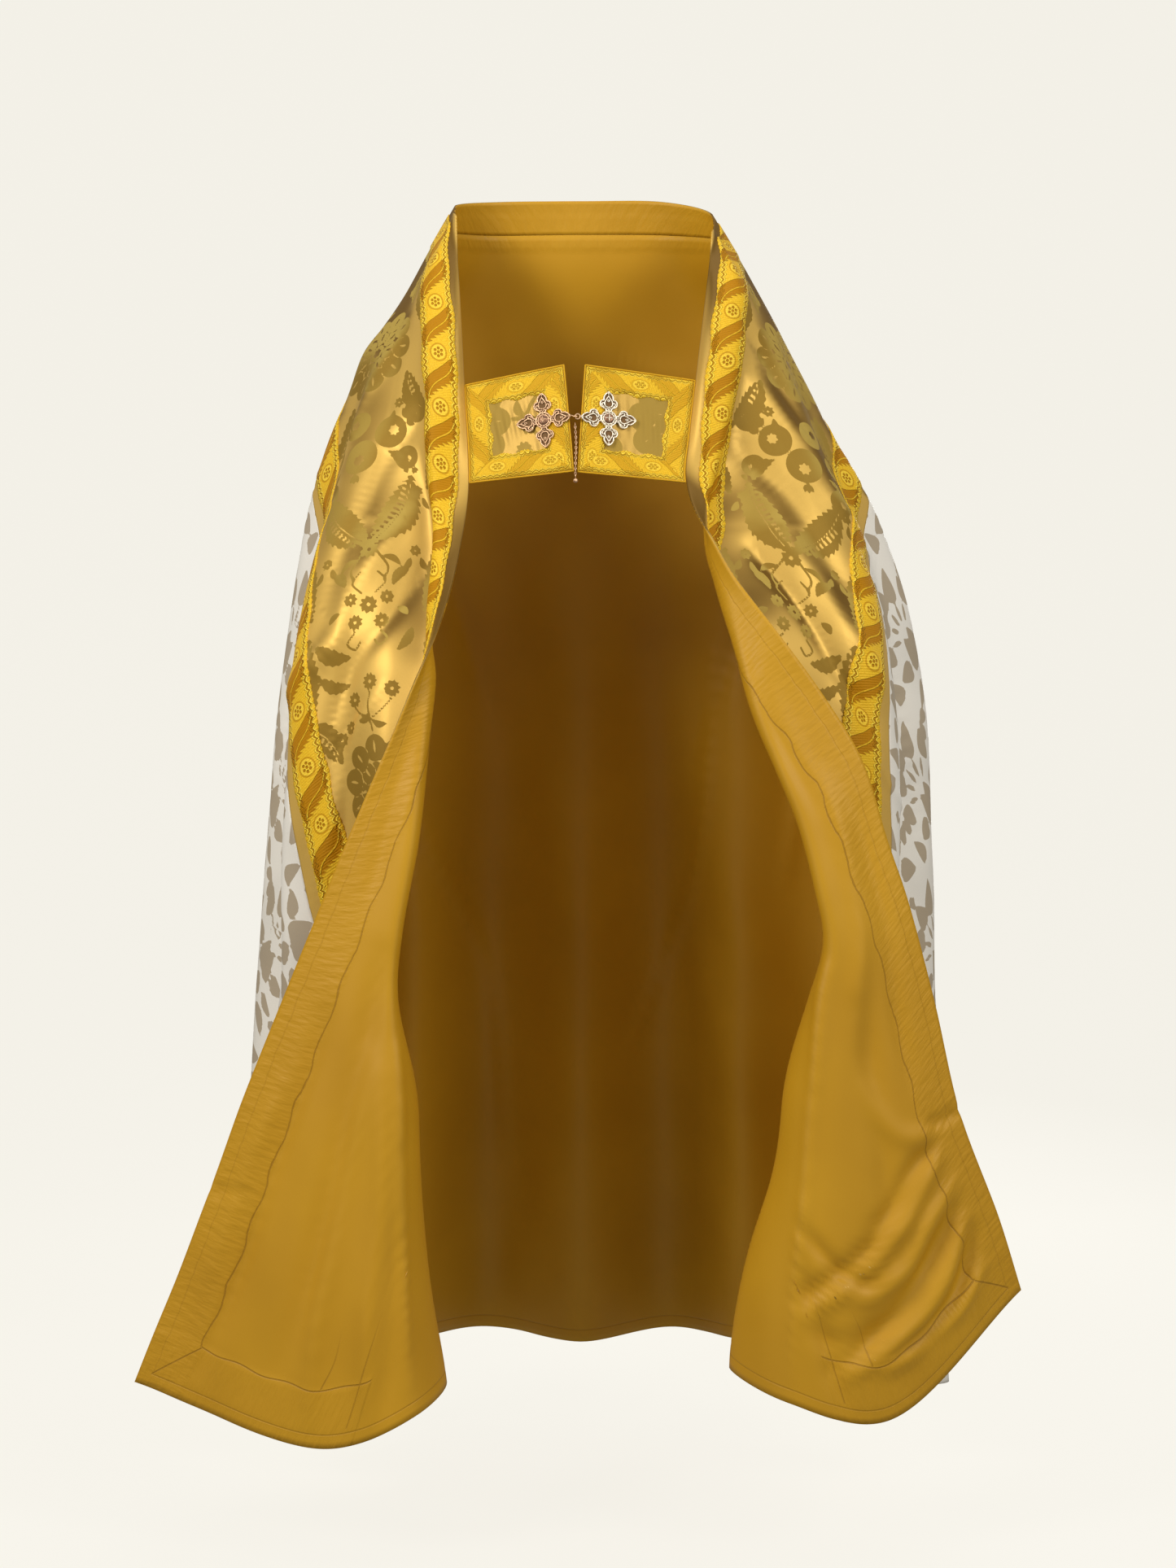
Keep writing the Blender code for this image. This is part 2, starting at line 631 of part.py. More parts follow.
def cross_outline(turn):
    """Outline of a cross with four pointed leaf arms."""
    half = [(out / 1000, across / 1000) for out, across in CROSS_ARM]
    arm = [(out, -across) for out, across in half[1:]] + half[-2:0:-1] + [half[0]]
    outline = []
    for k in range(4):
        angle = math.radians(turn + 90 * k)
        for out, across in arm:
            outline.append((out * math.cos(angle) - across * math.sin(angle),
                            out * math.sin(angle) + across * math.cos(angle)))
    return outline


def cross_cap():
    """Triangles of the cross: each arm from side to side, and a fan round the middle."""
    rows = len(CROSS_ARM) - 1
    per_arm = 2 * rows
    middle = 4 * per_arm
    cap = []
    for k in range(4):
        first = k * per_arm
        last = first + per_arm - 2
        root = last + 1
        for j in range(rows - 2):
            a, b, c, d = first + j, first + j + 1, last - j - 1, last - j
            cap += [(a, b, c), (a, c, d)]
        cap.append((first + rows - 2, first + rows - 1, first + rows))
        cap += [(middle, first, last), (middle, last, root), (middle, root, (root + 1) % middle)]
    return cap


def tube(name, path, radius, sides, closed, across, material):
    """Round rod along a path that lies square to the direction across."""
    path = [np.array(point) for point in path]
    count = len(path)
    rings = []
    for k, point in enumerate(path):
        before = path[k - 1] if closed or k else path[0]
        after = path[(k + 1) % count] if closed or k < count - 1 else path[-1]
        ahead = (after - before) / np.linalg.norm(after - before)
        first = np.array(across, float)
        first -= ahead * ahead.dot(first)
        first /= np.linalg.norm(first)
        second = np.cross(ahead, first)
        rings.append([point + radius * (first * math.cos(a) + second * math.sin(a))
                      for a in (2 * math.pi * n / sides for n in range(sides))])
    points = [tuple(p) for ring in rings for p in ring]
    faces = []
    for k in range(count if closed else count - 1):
        here, there = k * sides, (k + 1) % count * sides
        for n in range(sides):
            m = (n + 1) % sides
            faces += [(here + n, here + m, there + m), (here + n, there + m, there + n)]
    if not closed:
        faces += [(0, n + 1, n) for n in range(1, sides - 1)]
        last = (count - 1) * sides
        faces += [(last, last + n, last + n + 1) for n in range(1, sides - 1)]
    return add_object(name, points, faces, material)


def make_clasp():
    """Clasp tab: two halves, braid frames, crosses, stones, hook and eye."""
    wide, tall = len(MORSE_ACROSS) - 1, len(MORSE_DOWN) - 1
    half = MORSE_THICK / 2
    tips = {}
    for side, word in ((-1, "left"), (1, "right")):
        patch = morse_patch(side)
        grid_solid("morse_panel_" + word, patch, MORSE_ACROSS, MORSE_DOWN,
                   lambda i, j: True, (-half, half), "gold_damask")
        grid_solid("morse_braid_" + word, patch, MORSE_ACROSS, MORSE_DOWN,
                   lambda i, j: (0 < i < tall - 1 and 0 < j < wide - 1
                                 and not (1 < i < tall - 2 and 1 < j < wide - 2)),
                   (half + 0.0003, half + 0.0013), "gold_braid")
        across, down, turn = CROSS_LEFT if side < 0 else CROSS_RIGHT
        place = patch_frame(patch, across, down)
        base = half + 0.0016
        top = base + CROSS_THICK
        plate("cross_" + word, cross_outline(turn), cross_cap(), place, (base, top),
              "gilt_metal")
        turns = [2 * math.pi * k / STONE_SIDES for k in range(STONE_SIDES)]
        plate("stone_" + word,
              [(STONE_ROUND * math.cos(a), STONE_ROUND * math.sin(a)) for a in turns],
              [(STONE_SIDES, k, (k + 1) % STONE_SIDES) for k in range(STONE_SIDES)],
              place, (top + 0.0003, top + 0.0026), "dark_stone")
        middle, ahead, up, front = place
        angle = math.radians(turn if side < 0 else turn + 180)
        reach = 0.034 + 0.0004
        toward = ahead * math.cos(angle) + up * math.sin(angle)
        if toward[0] * side > 0:
            toward = -toward
        tips[side] = middle + toward * reach + front * (base + CROSS_THICK / 2)
    make_hook(tips)


# Hook seen from above in millimetres from the middle of the eye: across, forward
HOOK_BEND = [(-4.9, 1.6), (-3.1, 2.3), (-1.2, 1.5), (-0.4, 0.0), (-1.0, -1.3), (-2.3, -1.8)]


def make_hook(tips):
    """Eye on the cross of the wearer's left and the hook that is caught in it."""
    wire = 0.0007
    major = 0.0030
    forward = np.array([0.0, -0.0016, 0.0])
    centre = tips[1] + forward + np.array([-major - wire, 0.0, 0.0])
    circle = [centre + major * np.array([math.cos(a), 0.0, math.sin(a)])
              for a in (2 * math.pi * k / 16 for k in range(16))]
    tube("clasp_eye", circle, wire, 6, True, (0, 1, 0), "gilt_metal")
    start = tips[-1] + np.array([wire * 0.3, -0.0010, 0.0])
    path = [start] + [centre + np.array([x / 1000, -forward_mm / 1000, 0.0])
                      for x, forward_mm in HOOK_BEND]
    tube("clasp_hook", path, wire, 6, False, (0, 0, 1), "gilt_metal")


def main():
    """Build the cope."""
    for old in list(bpy.data.objects):
        bpy.data.objects.remove(old)
    make_cloth()
    make_clasp()


main()
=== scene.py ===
"""Looks of a worn cope: damask, woven braid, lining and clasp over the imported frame.

Metres, +Z up, and the front faces -Y. The cloak's flat cut and drape are those of the part:
    s     distance along the straight edge from the nape, minus to the wearer's right
    t     distance from the straight edge
    drop  share of the way from the neck to the hem
"""
import math

import bpy
import numpy as np
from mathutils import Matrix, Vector


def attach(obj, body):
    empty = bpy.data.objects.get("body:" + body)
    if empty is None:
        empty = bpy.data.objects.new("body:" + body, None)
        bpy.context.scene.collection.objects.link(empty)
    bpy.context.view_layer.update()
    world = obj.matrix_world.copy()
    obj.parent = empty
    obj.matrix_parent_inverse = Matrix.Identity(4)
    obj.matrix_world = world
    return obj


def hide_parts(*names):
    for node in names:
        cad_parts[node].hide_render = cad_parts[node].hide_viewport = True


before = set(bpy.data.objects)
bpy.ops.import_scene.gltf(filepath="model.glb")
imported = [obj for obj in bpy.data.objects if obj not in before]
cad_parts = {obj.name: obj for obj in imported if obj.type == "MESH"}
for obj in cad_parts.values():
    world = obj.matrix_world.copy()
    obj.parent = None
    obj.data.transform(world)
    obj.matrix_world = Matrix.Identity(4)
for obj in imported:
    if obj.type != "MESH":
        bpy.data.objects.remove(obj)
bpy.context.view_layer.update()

# Flat cut of the cloak
REACH = 1.60            # radius of the half circle, nape to hem
NECK = 0.20             # half length of the straight edge that stands round the neck
BAND = 0.293            # width of the gold band
BRAID_IN = 0.017        # braid set in from the edge
BRAID_WIDE = 0.048
COLLAR_SEAM = 0.028     # height of the collar lining, as a share of the drop
HEM_BRAID = (0.9536, 0.9879)   # share of the drop where the hem braid lies

# Heights above the middle of the cloth
FACE = 0.00145
FACE_BACK = -0.0009
LINING = -0.00125
LINING_BACK = 0.0003
BRAID = 0.00285
BRAID_BACK = 0.0012

# Points of each mesh: down the cloth, then across it
BAND_NET = (640, 122)
BODY_NET = (258, 378)
LINING_NET = (186, 76, 360)    # down, across each turned-out front, across the back
COLLAR_ROWS = 10
BRAID_NET = (960, 13)
HEM_BRAID_ROWS = 170
TAB_NET = (50, 56)
TAB_BRAID_NET = (90, 12)
NEAR_NAPE = 1e-5        # smallest distance from the nape, so that a point keeps its side

WORDS = {-1: "left", 1: "right"}   # halves, by the side of s

LINES = 7               # spans between drape lines from the front edge to the back
SAMPLES = 48            # points worked out in each span
LEVELS = 320            # rows in the worn shape

# View that the drape lines were read from: eye point and size of one step at one metre
EYE = (0.010, -3.45, -0.70)
STEP = 0.00095 / 3.2
MIDDLE = (722.5, 963.5)

# Drape lines, each read from collar to hem: across, down, depth behind the shoulder line
EDGE_LEFT = [
    (560, 265, -0.020), (563, 330, -0.060), (567, 400, -0.093), (571, 480, -0.122),
    (576, 596, -0.153), (564, 681, -0.199), (549, 740, -0.243), (533, 785, -0.274),
    (505, 851, -0.288), (448, 982, -0.284), (378, 1153, -0.268), (306, 1332, -0.250),
    (235, 1525, -0.225), (166, 1698, -0.200),
]
EDGE_RIGHT = [
    (875, 285, -0.020), (870, 340, -0.061), (864, 400, -0.093), (857, 460, -0.118),
    (848, 535, -0.140), (843, 586, -0.162), (851, 620, -0.190), (869, 652, -0.221),
    (908, 716, -0.260), (960, 783, -0.276),
    (1012, 855, -0.276), (1058, 933, -0.276), (1090, 1034, -0.272), (1115, 1107, -0.266),
    (1147, 1228, -0.256), (1179, 1368, -0.245), (1229, 1500, -0.225), (1254, 1585, -0.205),
]
FOLD_LEFT = [
    (558, 262, 0.000), (531, 345, -0.066), (527, 400, -0.096), (525, 453, -0.118),
    (527, 520, -0.139), (532, 596, -0.156), (535, 645, -0.176), (533, 690, -0.195),
    (528, 740, -0.218), (527, 789, -0.242), (531, 833, -0.261),
    (523, 907, -0.279), (507, 1036, -0.294), (482, 1210, -0.300), (489, 1340, -0.305),
    (495, 1583, -0.305), (511, 1740, -0.305),
]
FOLD_RIGHT = [
    (876, 282, 0.000), (903, 345, -0.066), (907, 400, -0.096), (901, 450, -0.116),
    (894, 500, -0.133), (882, 556, -0.149), (872, 596, -0.165), (868, 642, -0.196),
    (873, 684, -0.217), (883, 716, -0.233), (900, 770, -0.257), (928, 868, -0.281),
    (960, 949, -0.294), (986, 1014, -0.300), (1008, 1095, -0.305), (1020, 1160, -0.305),
    (1009, 1230, -0.305), (998, 1337, -0.305), (988, 1459, -0.305), (976, 1570, -0.305),
    (969, 1724, -0.305),
]
ARM_LEFT = [
    (559, 258, 0.030), (516, 345, -0.015), (498, 400, -0.045), (478, 500, -0.085),
    (452, 600, -0.122), (428, 700, -0.160), (412, 800, -0.185), (404, 960, -0.200),
    (400, 1160, -0.190), (395, 1400, -0.175), (390, 1700, -0.160),
]
ARM_RIGHT = [
    (877, 278, 0.030), (918, 345, -0.015), (938, 400, -0.045), (960, 500, -0.085),
    (992, 600, -0.120), (1018, 700, -0.150), (1040, 800, -0.180), (1056, 960, -0.195),
    (1066, 1160, -0.185), (1068, 1400, -0.170), (1070, 1700, -0.160),
]
SIDE_LEFT = [
    (563, 252, 0.055), (518, 330, 0.036), (475, 400, 0.020), (448, 435, 0.014),
    (431, 480, 0.008), (401, 570, 0.010), (387, 634, 0.020), (370, 740, 0.030),
    (356, 877, 0.030),
    (350, 1000, 0.030), (345, 1160, 0.030), (340, 1330, 0.030), (335, 1700, 0.030),
]
SIDE_RIGHT = [
    (872, 262, 0.055), (914, 335, 0.034), (953, 400, 0.014), (1003, 500, -0.008),
    (1050, 600, -0.008), (1071, 645, 0.006), (1105, 747, 0.026), (1124, 884, 0.030),
    (1126, 1050, 0.030), (1124, 1160, 0.030), (1124, 1330, 0.030), (1126, 1700, 0.030),
]
# Back lines in metres: out from the middle, depth, height
QUARTER = [
    (0.108, 0.098, 0.053), (0.128, 0.118, -0.015), (0.190, 0.138, -0.095),
    (0.245, 0.155, -0.220), (0.275, 0.180, -0.400), (0.288, 0.205, -0.620),
    (0.298, 0.230, -0.880), (0.308, 0.260, -1.160), (0.318, 0.290, -1.450),
]
BACK = [
    (0.0, 0.115, 0.058), (0.0, 0.126, -0.020), (0.0, 0.160, -0.110), (0.0, 0.198, -0.240),
    (0.0, 0.228, -0.400), (0.0, 0.255, -0.620), (0.0, 0.285, -0.880), (0.0, 0.320, -1.160),
    (0.0, 0.355, -1.465),
]
# Tuck behind each front fold by share of the drop: inward, back
TUCK_LEFT = [
    (0.00, 0.000, 0.012), (0.10, -0.012, 0.014), (0.22, -0.010, 0.018),
    (0.35, 0.000, 0.028), (0.66, 0.000, 0.032), (0.78, 0.018, 0.055), (1.00, 0.026, 0.090),
]
TUCK_RIGHT = [
    (0.00, 0.000, 0.012), (0.10, -0.012, 0.014), (0.20, -0.010, 0.018),
    (0.33, 0.000, 0.028), (0.62, 0.000, 0.032), (0.78, 0.026, 0.060), (1.00, 0.062, 0.090),
]
# Belly of each turned-out front at the hem: place from edge to fold, forward, down
BELLY_LEFT = (0.70, 0.022, 0.045)
BELLY_RIGHT = (0.60, 0.022, 0.070)
# Flutes: place between the drape lines, outward swing at the hem, share of the drop they start
FLUTES_LEFT = [
    (3.0, 0.000, 0.00), (3.45, 0.018, 0.30), (3.85, -0.036, 0.30), (4.28, 0.040, 0.12),
    (4.70, -0.046, 0.12), (5.12, 0.048, 0.20), (5.50, -0.056, 0.24), (5.88, 0.050, 0.24),
    (6.27, -0.058, 0.26), (6.64, 0.048, 0.26), (7.0, -0.044, 0.26),
]
FLUTES_RIGHT = [
    (3.0, 0.000, 0.00), (3.40, 0.018, 0.30), (3.80, -0.038, 0.30), (4.24, 0.024, 0.12),
    (4.68, -0.050, 0.12), (5.08, 0.044, 0.20), (5.47, -0.052, 0.24), (5.90, 0.056, 0.24),
    (6.30, -0.056, 0.26), (6.66, 0.044, 0.26), (7.0, -0.044, 0.26),
]


def sight(row):
    """Move a point read in the view along its line of sight to its depth."""
    across, down, depth = row
    scale = STEP * (depth - EYE[1])
    return (EYE[0] + (across - MIDDLE[0]) * scale, depth, EYE[2] + (MIDDLE[1] - down) * scale)


def smooth(points, per_span):
    """Smooth curve through points, with per_span steps between each two."""
    points = np.asarray(points, float)
    path = np.vstack([2 * points[0] - points[1], points, 2 * points[-1] - points[-2]])
    gaps = np.sqrt(np.maximum(np.linalg.norm(np.diff(path, axis=0), axis=1), 1e-6))
    times = np.concatenate([[0.0], np.cumsum(gaps)])
    steps = np.arange(per_span) / per_span
    found = []
    for k in range(len(points) - 1):
        t0, t1, t2, t3 = times[k:k + 4]
        p0, p1, p2, p3 = path[k:k + 4]
        t = (t1 + (t2 - t1) * steps)[:, None]
        a1 = p0 + (p1 - p0) * (t - t0) / (t1 - t0)
        a2 = p1 + (p2 - p1) * (t - t1) / (t2 - t1)
        a3 = p2 + (p3 - p2) * (t - t2) / (t3 - t2)
        b1 = a1 + (a2 - a1) * (t - t0) / (t2 - t0)
        b2 = a2 + (a3 - a2) * (t - t1) / (t3 - t1)
        found.append(b1 + (b2 - b1) * (t - t1) / (t2 - t1))
    found.append(points[-1:])
    return np.vstack(found)


def lengths(points):
    """Distance along a line of points."""
    return np.concatenate([[0.0], np.cumsum(np.linalg.norm(np.diff(points, axis=0), axis=1))])


def by_drop(points):
    """A drape line as a table over the share of its own length."""
    line = smooth(points, 20)
    along = lengths(line)
    shares = np.linspace(0, 1, LEVELS + 1) * along[-1]
    return np.stack([np.interp(shares, along, line[:, k]) for k in range(3)], axis=1)


def ease(x, low, high):
    """0 below low, 1 above high and a soft step between."""
    x = np.clip((x - low) / (high - low), 0, 1)
    return x * x * (3 - 2 * x)


def half_lines(side, edge, fold, arm, flank, tuck, belly):
    """Drape lines of one half, from the front edge to the back, as LEVELS + 1 points each."""
    drop = np.linspace(0, 1, LEVELS + 1)
    edge = by_drop([sight(row) for row in edge])
    fold = by_drop([sight(row) for row in fold])
    arm = by_drop([sight(row) for row in arm])
    flank = by_drop([sight(row) for row in flank])
    quarter = by_drop([(side * out, depth, height) for out, depth, height in QUARTER])
    place, forward, down = belly
    grow = ease(drop, 0.5, 1.0)[:, None]
    swell = np.array([0.0, -forward, -down])
    roll = ease(drop, 0.0, 0.12) * (1 - ease(drop, 0.16, 0.28))
    curl = np.array([-side * 0.011, -0.010, 0.0]) * roll[:, None]
    middle = edge + (0.45 + (place - 0.45) * grow) * (fold - edge) + swell * grow + curl
    rows = np.array(tuck)
    inward = smooth_table(drop, rows[:, 0], rows[:, 1])
    back = smooth_table(drop, rows[:, 0], rows[:, 2])
    behind = fold + np.stack([-side * inward, back, 0.024 * ease(drop, 0.8, 1.0)], axis=1)
    return [edge, middle, fold, behind, arm, flank, quarter]


def smooth_table(x, places, values):
    """Value between table rows, with a soft step from each row to the next."""
    spot = np.clip(np.searchsorted(places, x, side="right") - 1, 0, len(places) - 2)
    low, high = places[spot], places[spot + 1]
    share = np.clip((x - low) / (high - low), 0, 1)
    share = share * share * (3 - 2 * share)
    return values[spot] + (values[spot + 1] - values[spot]) * share


def swing(places, drop, table):
    """Outward swing of the flutes at each place of a row."""
    rows = np.array(table)
    sizes = rows[:, 1] * np.clip((drop - rows[:, 2]) / (1 - rows[:, 2]), 0, 1) ** 0.8
    return smooth_table(places, rows[:, 0], sizes)


def worn_rows():
    """Worn shape as rows of points: (level, place in the row), with length along each row."""
    left = half_lines(-1, EDGE_LEFT, FOLD_LEFT, ARM_LEFT, SIDE_LEFT, TUCK_LEFT, BELLY_LEFT)
    right = half_lines(1, EDGE_RIGHT, FOLD_RIGHT, ARM_RIGHT, SIDE_RIGHT, TUCK_RIGHT, BELLY_RIGHT)
    lines = np.stack(left + [by_drop(BACK)] + right[::-1])
    places = np.arange(2 * LINES * SAMPLES + 1) / SAMPLES
    rows = []
    for level in range(LEVELS + 1):
        drop = level / LEVELS
        row = smooth(lines[:, level], SAMPLES)
        ahead = np.gradient(row, axis=0)
        outward = np.stack([-ahead[:, 1], ahead[:, 0]], axis=1)
        outward /= np.maximum(np.linalg.norm(outward, axis=1), 1e-9)[:, None]
        near = np.where(places <= LINES,
                        swing(places, drop, FLUTES_LEFT),
                        swing(2 * LINES - places, drop, FLUTES_RIGHT))
        row[:, :2] += outward * near[:, None]
        rows.append(row)
    rows = np.array(rows)
    along = np.array([lengths(row) for row in rows])
    return rows, along


def crossways(rows):
    """Outward direction at each point of a surface given as rows."""
    outward = np.cross(np.gradient(rows, axis=1), np.gradient(rows, axis=0))
    return outward / np.maximum(np.linalg.norm(outward, axis=2), 1e-12)[..., None]


CREASE_NEAR = (14, 40)   # rows and columns past a crease that it may still move
# Creases on the cloth seen from the front: side, from and to place between the drape lines, and
# rows of half width, height towards the outer face, and points across and down the view
SEEN_CREASES = [
    # drag lines over the turned-out right front
    (1, 0.1, 2.0, [
        (0.010, -0.009, [(1170, 1455), (1140, 1506), (1118, 1550), (1091, 1582), (1040, 1596)]),
        (0.011, 0.010, [(1172, 1490), (1140, 1550), (1118, 1593), (1086, 1637), (1020, 1690)]),
        (0.009, -0.010, [(1184, 1500), (1162, 1571), (1135, 1615), (1091, 1653), (1032, 1690)]),
        (0.011, 0.010, [(1198, 1515), (1178, 1582), (1146, 1631), (1110, 1662)]),
        (0.009, -0.009, [(1204, 1555), (1178, 1604), (1140, 1642), (1080, 1686)]),
        (0.010, 0.009, [(1084, 1516), (1058, 1544), (1026, 1571), (980, 1600)]),
        (0.008, -0.007, [(1100, 1520), (1070, 1556), (1036, 1584), (990, 1622)]),
        (0.009, 0.007, [(990, 1516), (1026, 1553), (1058, 1576), (1090, 1577)]),
        (0.010, 0.007, [(1151, 1404), (1118, 1440), (1097, 1484), (1069, 1510)]),
        (0.010, -0.008, [(1154, 1414), (1132, 1457), (1110, 1500), (1091, 1530)]),
        (0.012, 0.006, [(1000, 1640), (1030, 1652), (1064, 1640), (1090, 1610)]),
        (0.012, -0.005, [(1060, 1330), (1090, 1384), (1120, 1398), (1150, 1394)]),
        (0.016, 0.006, [(1060, 1240), (1075, 1340), (1088, 1440), (1090, 1500)]),
        (0.012, 0.006, [(985, 1560), (1010, 1640), (1040, 1745)]),
        (0.014, -0.007, [(1010, 960), (1040, 1060), (1055, 1180), (1050, 1300)]),
        (0.012, 0.005, [(1055, 1000), (1085, 1120), (1100, 1240), (1120, 1330)]),
    ]),
    (1, 0.0, 0.9, [
        (0.006, 0.006, [(1179, 1366), (1158, 1374), (1140, 1384)]),
    ]),
    (1, 0.1, 2.0, [
        (0.010, 0.004, [(905, 760), (930, 840), (965, 920), (1000, 990)]),
    ]),
    # trough beside each front fold
    (1, 1.4, 2.1, [
        (0.008, -0.006, [(1009, 1190), (1003, 1290), (994, 1400), (984, 1520), (972, 1690)]),
    ]),
    (-1, 1.4, 2.1, [
        (0.008, -0.006, [(487, 1290), (490, 1400), (494, 1520), (503, 1700)]),
    ]),
    # turned-out left front
    (-1, 0.2, 2.0, [
        (0.018, 0.008, [(470, 1180), (440, 1330), (400, 1500), (350, 1680)]),
        (0.014, -0.007, [(455, 1300), (425, 1450), (395, 1600), (380, 1740)]),
        (0.013, -0.006, [(470, 1320), (470, 1480), (455, 1620), (450, 1750)]),
    ]),
    (-1, 0.1, 2.0, [
        (0.013, 0.007, [(400, 1250), (350, 1400), (300, 1540), (250, 1680)]),
        (0.012, -0.005, [(345, 1330), (300, 1450), (255, 1580)]),
    ]),
    (-1, 0.0, 0.6, [
        (0.005, 0.004, [(260, 1463), (280, 1466), (305, 1468)]),
    ]),
    (-1, 0.1, 2.0, [
        (0.012, 0.003, [(505, 900), (480, 1000), (450, 1120)]),
    ]),
    (-1, 0.2, 2.0, [
        (0.012, 0.003, [(500, 1500), (480, 1640), (470, 1750)]),
    ]),
    # gold band, wearer's left
    (1, 2.4, 5.0, [
        (0.012, -0.007, [(924, 672), (960, 715), (1025, 819), (1058, 868), (1074, 917)]),
        (0.020, 0.006, [(955, 650), (1010, 730), (1060, 800), (1085, 860)]),
    ]),
    (1, 0.6, 5.0, [
        (0.018, -0.005, [(900, 520), (960, 600), (1020, 690), (1060, 760)]),
    ]),
    (1, 0.8, 5.0, [
        (0.020, 0.005, [(915, 440), (975, 530), (1030, 620), (1075, 700)]),
    ]),
    (1, 1.0, 5.0, [
        (0.014, -0.004, [(905, 370), (945, 450), (995, 540)]),
    ]),
    (1, 2.6, 5.0, [
        (0.008, 0.003, [(1075, 905), (1088, 960), (1094, 1020)]),
    ]),
    # gold band, wearer's right
    (-1, 0.6, 5.0, [
        (0.018, -0.005, [(525, 470), (480, 560), (430, 660), (400, 760)]),
    ]),
    (-1, 0.8, 5.0, [
        (0.018, 0.006, [(510, 620), (450, 700), (400, 800), (375, 900)]),
    ]),
    (-1, 1.0, 5.0, [
        (0.014, -0.005, [(520, 700), (470, 770), (420, 850), (390, 960)]),
        (0.012, 0.004, [(500, 400), (455, 480), (425, 560)]),
    ]),
    (-1, 2.4, 5.0, [
        (0.012, 0.004, [(470, 840), (430, 930), (405, 1020), (385, 1110)]),
        (0.010, -0.004, [(440, 860), (405, 950), (385, 1040)]),
    ]),
]
# Creases where the view doesn't reach: side, half width, height, and points as place between the
# drape lines and share of the drop
HIDDEN_CREASES = [
    (1, 0.014, -0.005, [(4.4, 0.32), (4.7, 0.42), (4.9, 0.56)]),
    (1, 0.016, 0.005, [(5.0, 0.24), (5.2, 0.36), (5.6, 0.50), (5.8, 0.66)]),
    (1, 0.012, -0.004, [(5.4, 0.30), (5.9, 0.44), (6.1, 0.60)]),
    (1, 0.018, 0.006, [(6.0, 0.22), (6.2, 0.34), (6.5, 0.48)]),
    (1, 0.013, -0.005, [(6.4, 0.40), (6.5, 0.58), (6.8, 0.74)]),
    (1, 0.015, 0.004, [(5.2, 0.60), (5.1, 0.76), (5.3, 0.94)]),
    (1, 0.014, -0.004, [(4.3, 0.60), (4.4, 0.76), (4.2, 0.92)]),
    (-1, 0.015, -0.005, [(4.4, 0.28), (4.8, 0.40), (5.0, 0.52)]),
    (-1, 0.017, 0.006, [(5.1, 0.26), (5.4, 0.40), (5.7, 0.58)]),
    (-1, 0.012, -0.004, [(5.6, 0.34), (6.0, 0.46), (6.3, 0.64)]),
    (-1, 0.016, 0.005, [(6.1, 0.20), (6.4, 0.32), (6.6, 0.44)]),
    (-1, 0.014, -0.005, [(6.2, 0.52), (6.6, 0.66), (6.7, 0.84)]),
    (-1, 0.013, 0.004, [(5.3, 0.66), (5.2, 0.80), (5.4, 0.96)]),
    (-1, 0.012, -0.004, [(4.5, 0.56), (4.3, 0.72), (4.5, 0.90)]),
    (1, 0.020, -0.004, [(6.8, 0.14), (6.2, 0.17), (5.4, 0.20)]),
    (-1, 0.022, -0.005, [(6.9, 0.18), (6.3, 0.20), (5.5, 0.22)]),
]


def seen(points):
    """Where points show in the view: across and down."""
    scale = STEP * (points[..., 1] - EYE[1])
    return (MIDDLE[0] + (points[..., 0] - EYE[0]) / scale,
            MIDDLE[1] - (points[..., 2] - EYE[2]) / scale)


def crease(rows, path, half_width, height):
    """Height of a soft crease along a path of (level, column), for the rows near it."""
    path = smooth([(*point, 0.0) for point in path], 12)[:, :2]
    found = np.zeros(rows.shape[:2])
    low = np.maximum(path.min(axis=0).astype(int) - CREASE_NEAR, 0)
    high = np.minimum(path.max(axis=0).astype(int) + CREASE_NEAR, np.array(rows.shape[:2]) - 1)
    window = (slice(low[0], high[0] + 1), slice(low[1], high[1] + 1))
    line = cubic(rows, path[:, 0], path[:, 1])
    here = rows[window]
    away = np.linalg.norm(here[:, :, None] - line[None, None], axis=3)
    nearest = away.argmin(axis=2)
    share = nearest / (len(line) - 1)
    taper = np.sin(math.pi * np.clip(0.06 + 0.9 * share, 0, 1)) ** 0.7
    uneven = 1 + 0.25 * np.sin(9 * share + 40 * half_width)
    found[window] = height * taper * uneven * np.exp(-(away.min(axis=2) / half_width) ** 2)
    return found


def taps(share):
    """Weights of the four points round a place on a smooth curve."""
    return (share * (-0.5 + share * (1 - 0.5 * share)), 1 + share * share * (1.5 * share - 2.5),
            share * (0.5 + share * (2 - 1.5 * share)), share * share * (0.5 * share - 0.5))


def cubic(table, level, column):
    """Smooth value of a table between its rows and columns."""
    last_row, last_column = table.shape[0] - 1, table.shape[1] - 1
    level, column = np.clip(level, 0, last_row), np.clip(column, 0, last_column)
    row = np.minimum(level.astype(int), last_row - 1)
    col = np.minimum(column.astype(int), last_column - 1)
    found = 0
    for i, across in enumerate(taps(level - row)):
        for j, down in enumerate(taps(column - col)):
            near = table[np.clip(row + i - 1, 0, last_row), np.clip(col + j - 1, 0, last_column)]
            found = found + (across * down)[..., None] * near
    return found


def linear(table, level, column):
    """Value of a table between its rows and columns."""
    row = np.clip(level.astype(int), 0, table.shape[0] - 2)
    col = np.clip(column.astype(int), 0, table.shape[1] - 2)
    u, v = np.clip(level - row, 0, 1), np.clip(column - col, 0, 1)
    return ((table[row, col] * (1 - v) + table[row, col + 1] * v) * (1 - u)
            + (table[row + 1, col] * (1 - v) + table[row + 1, col + 1] * v) * u)


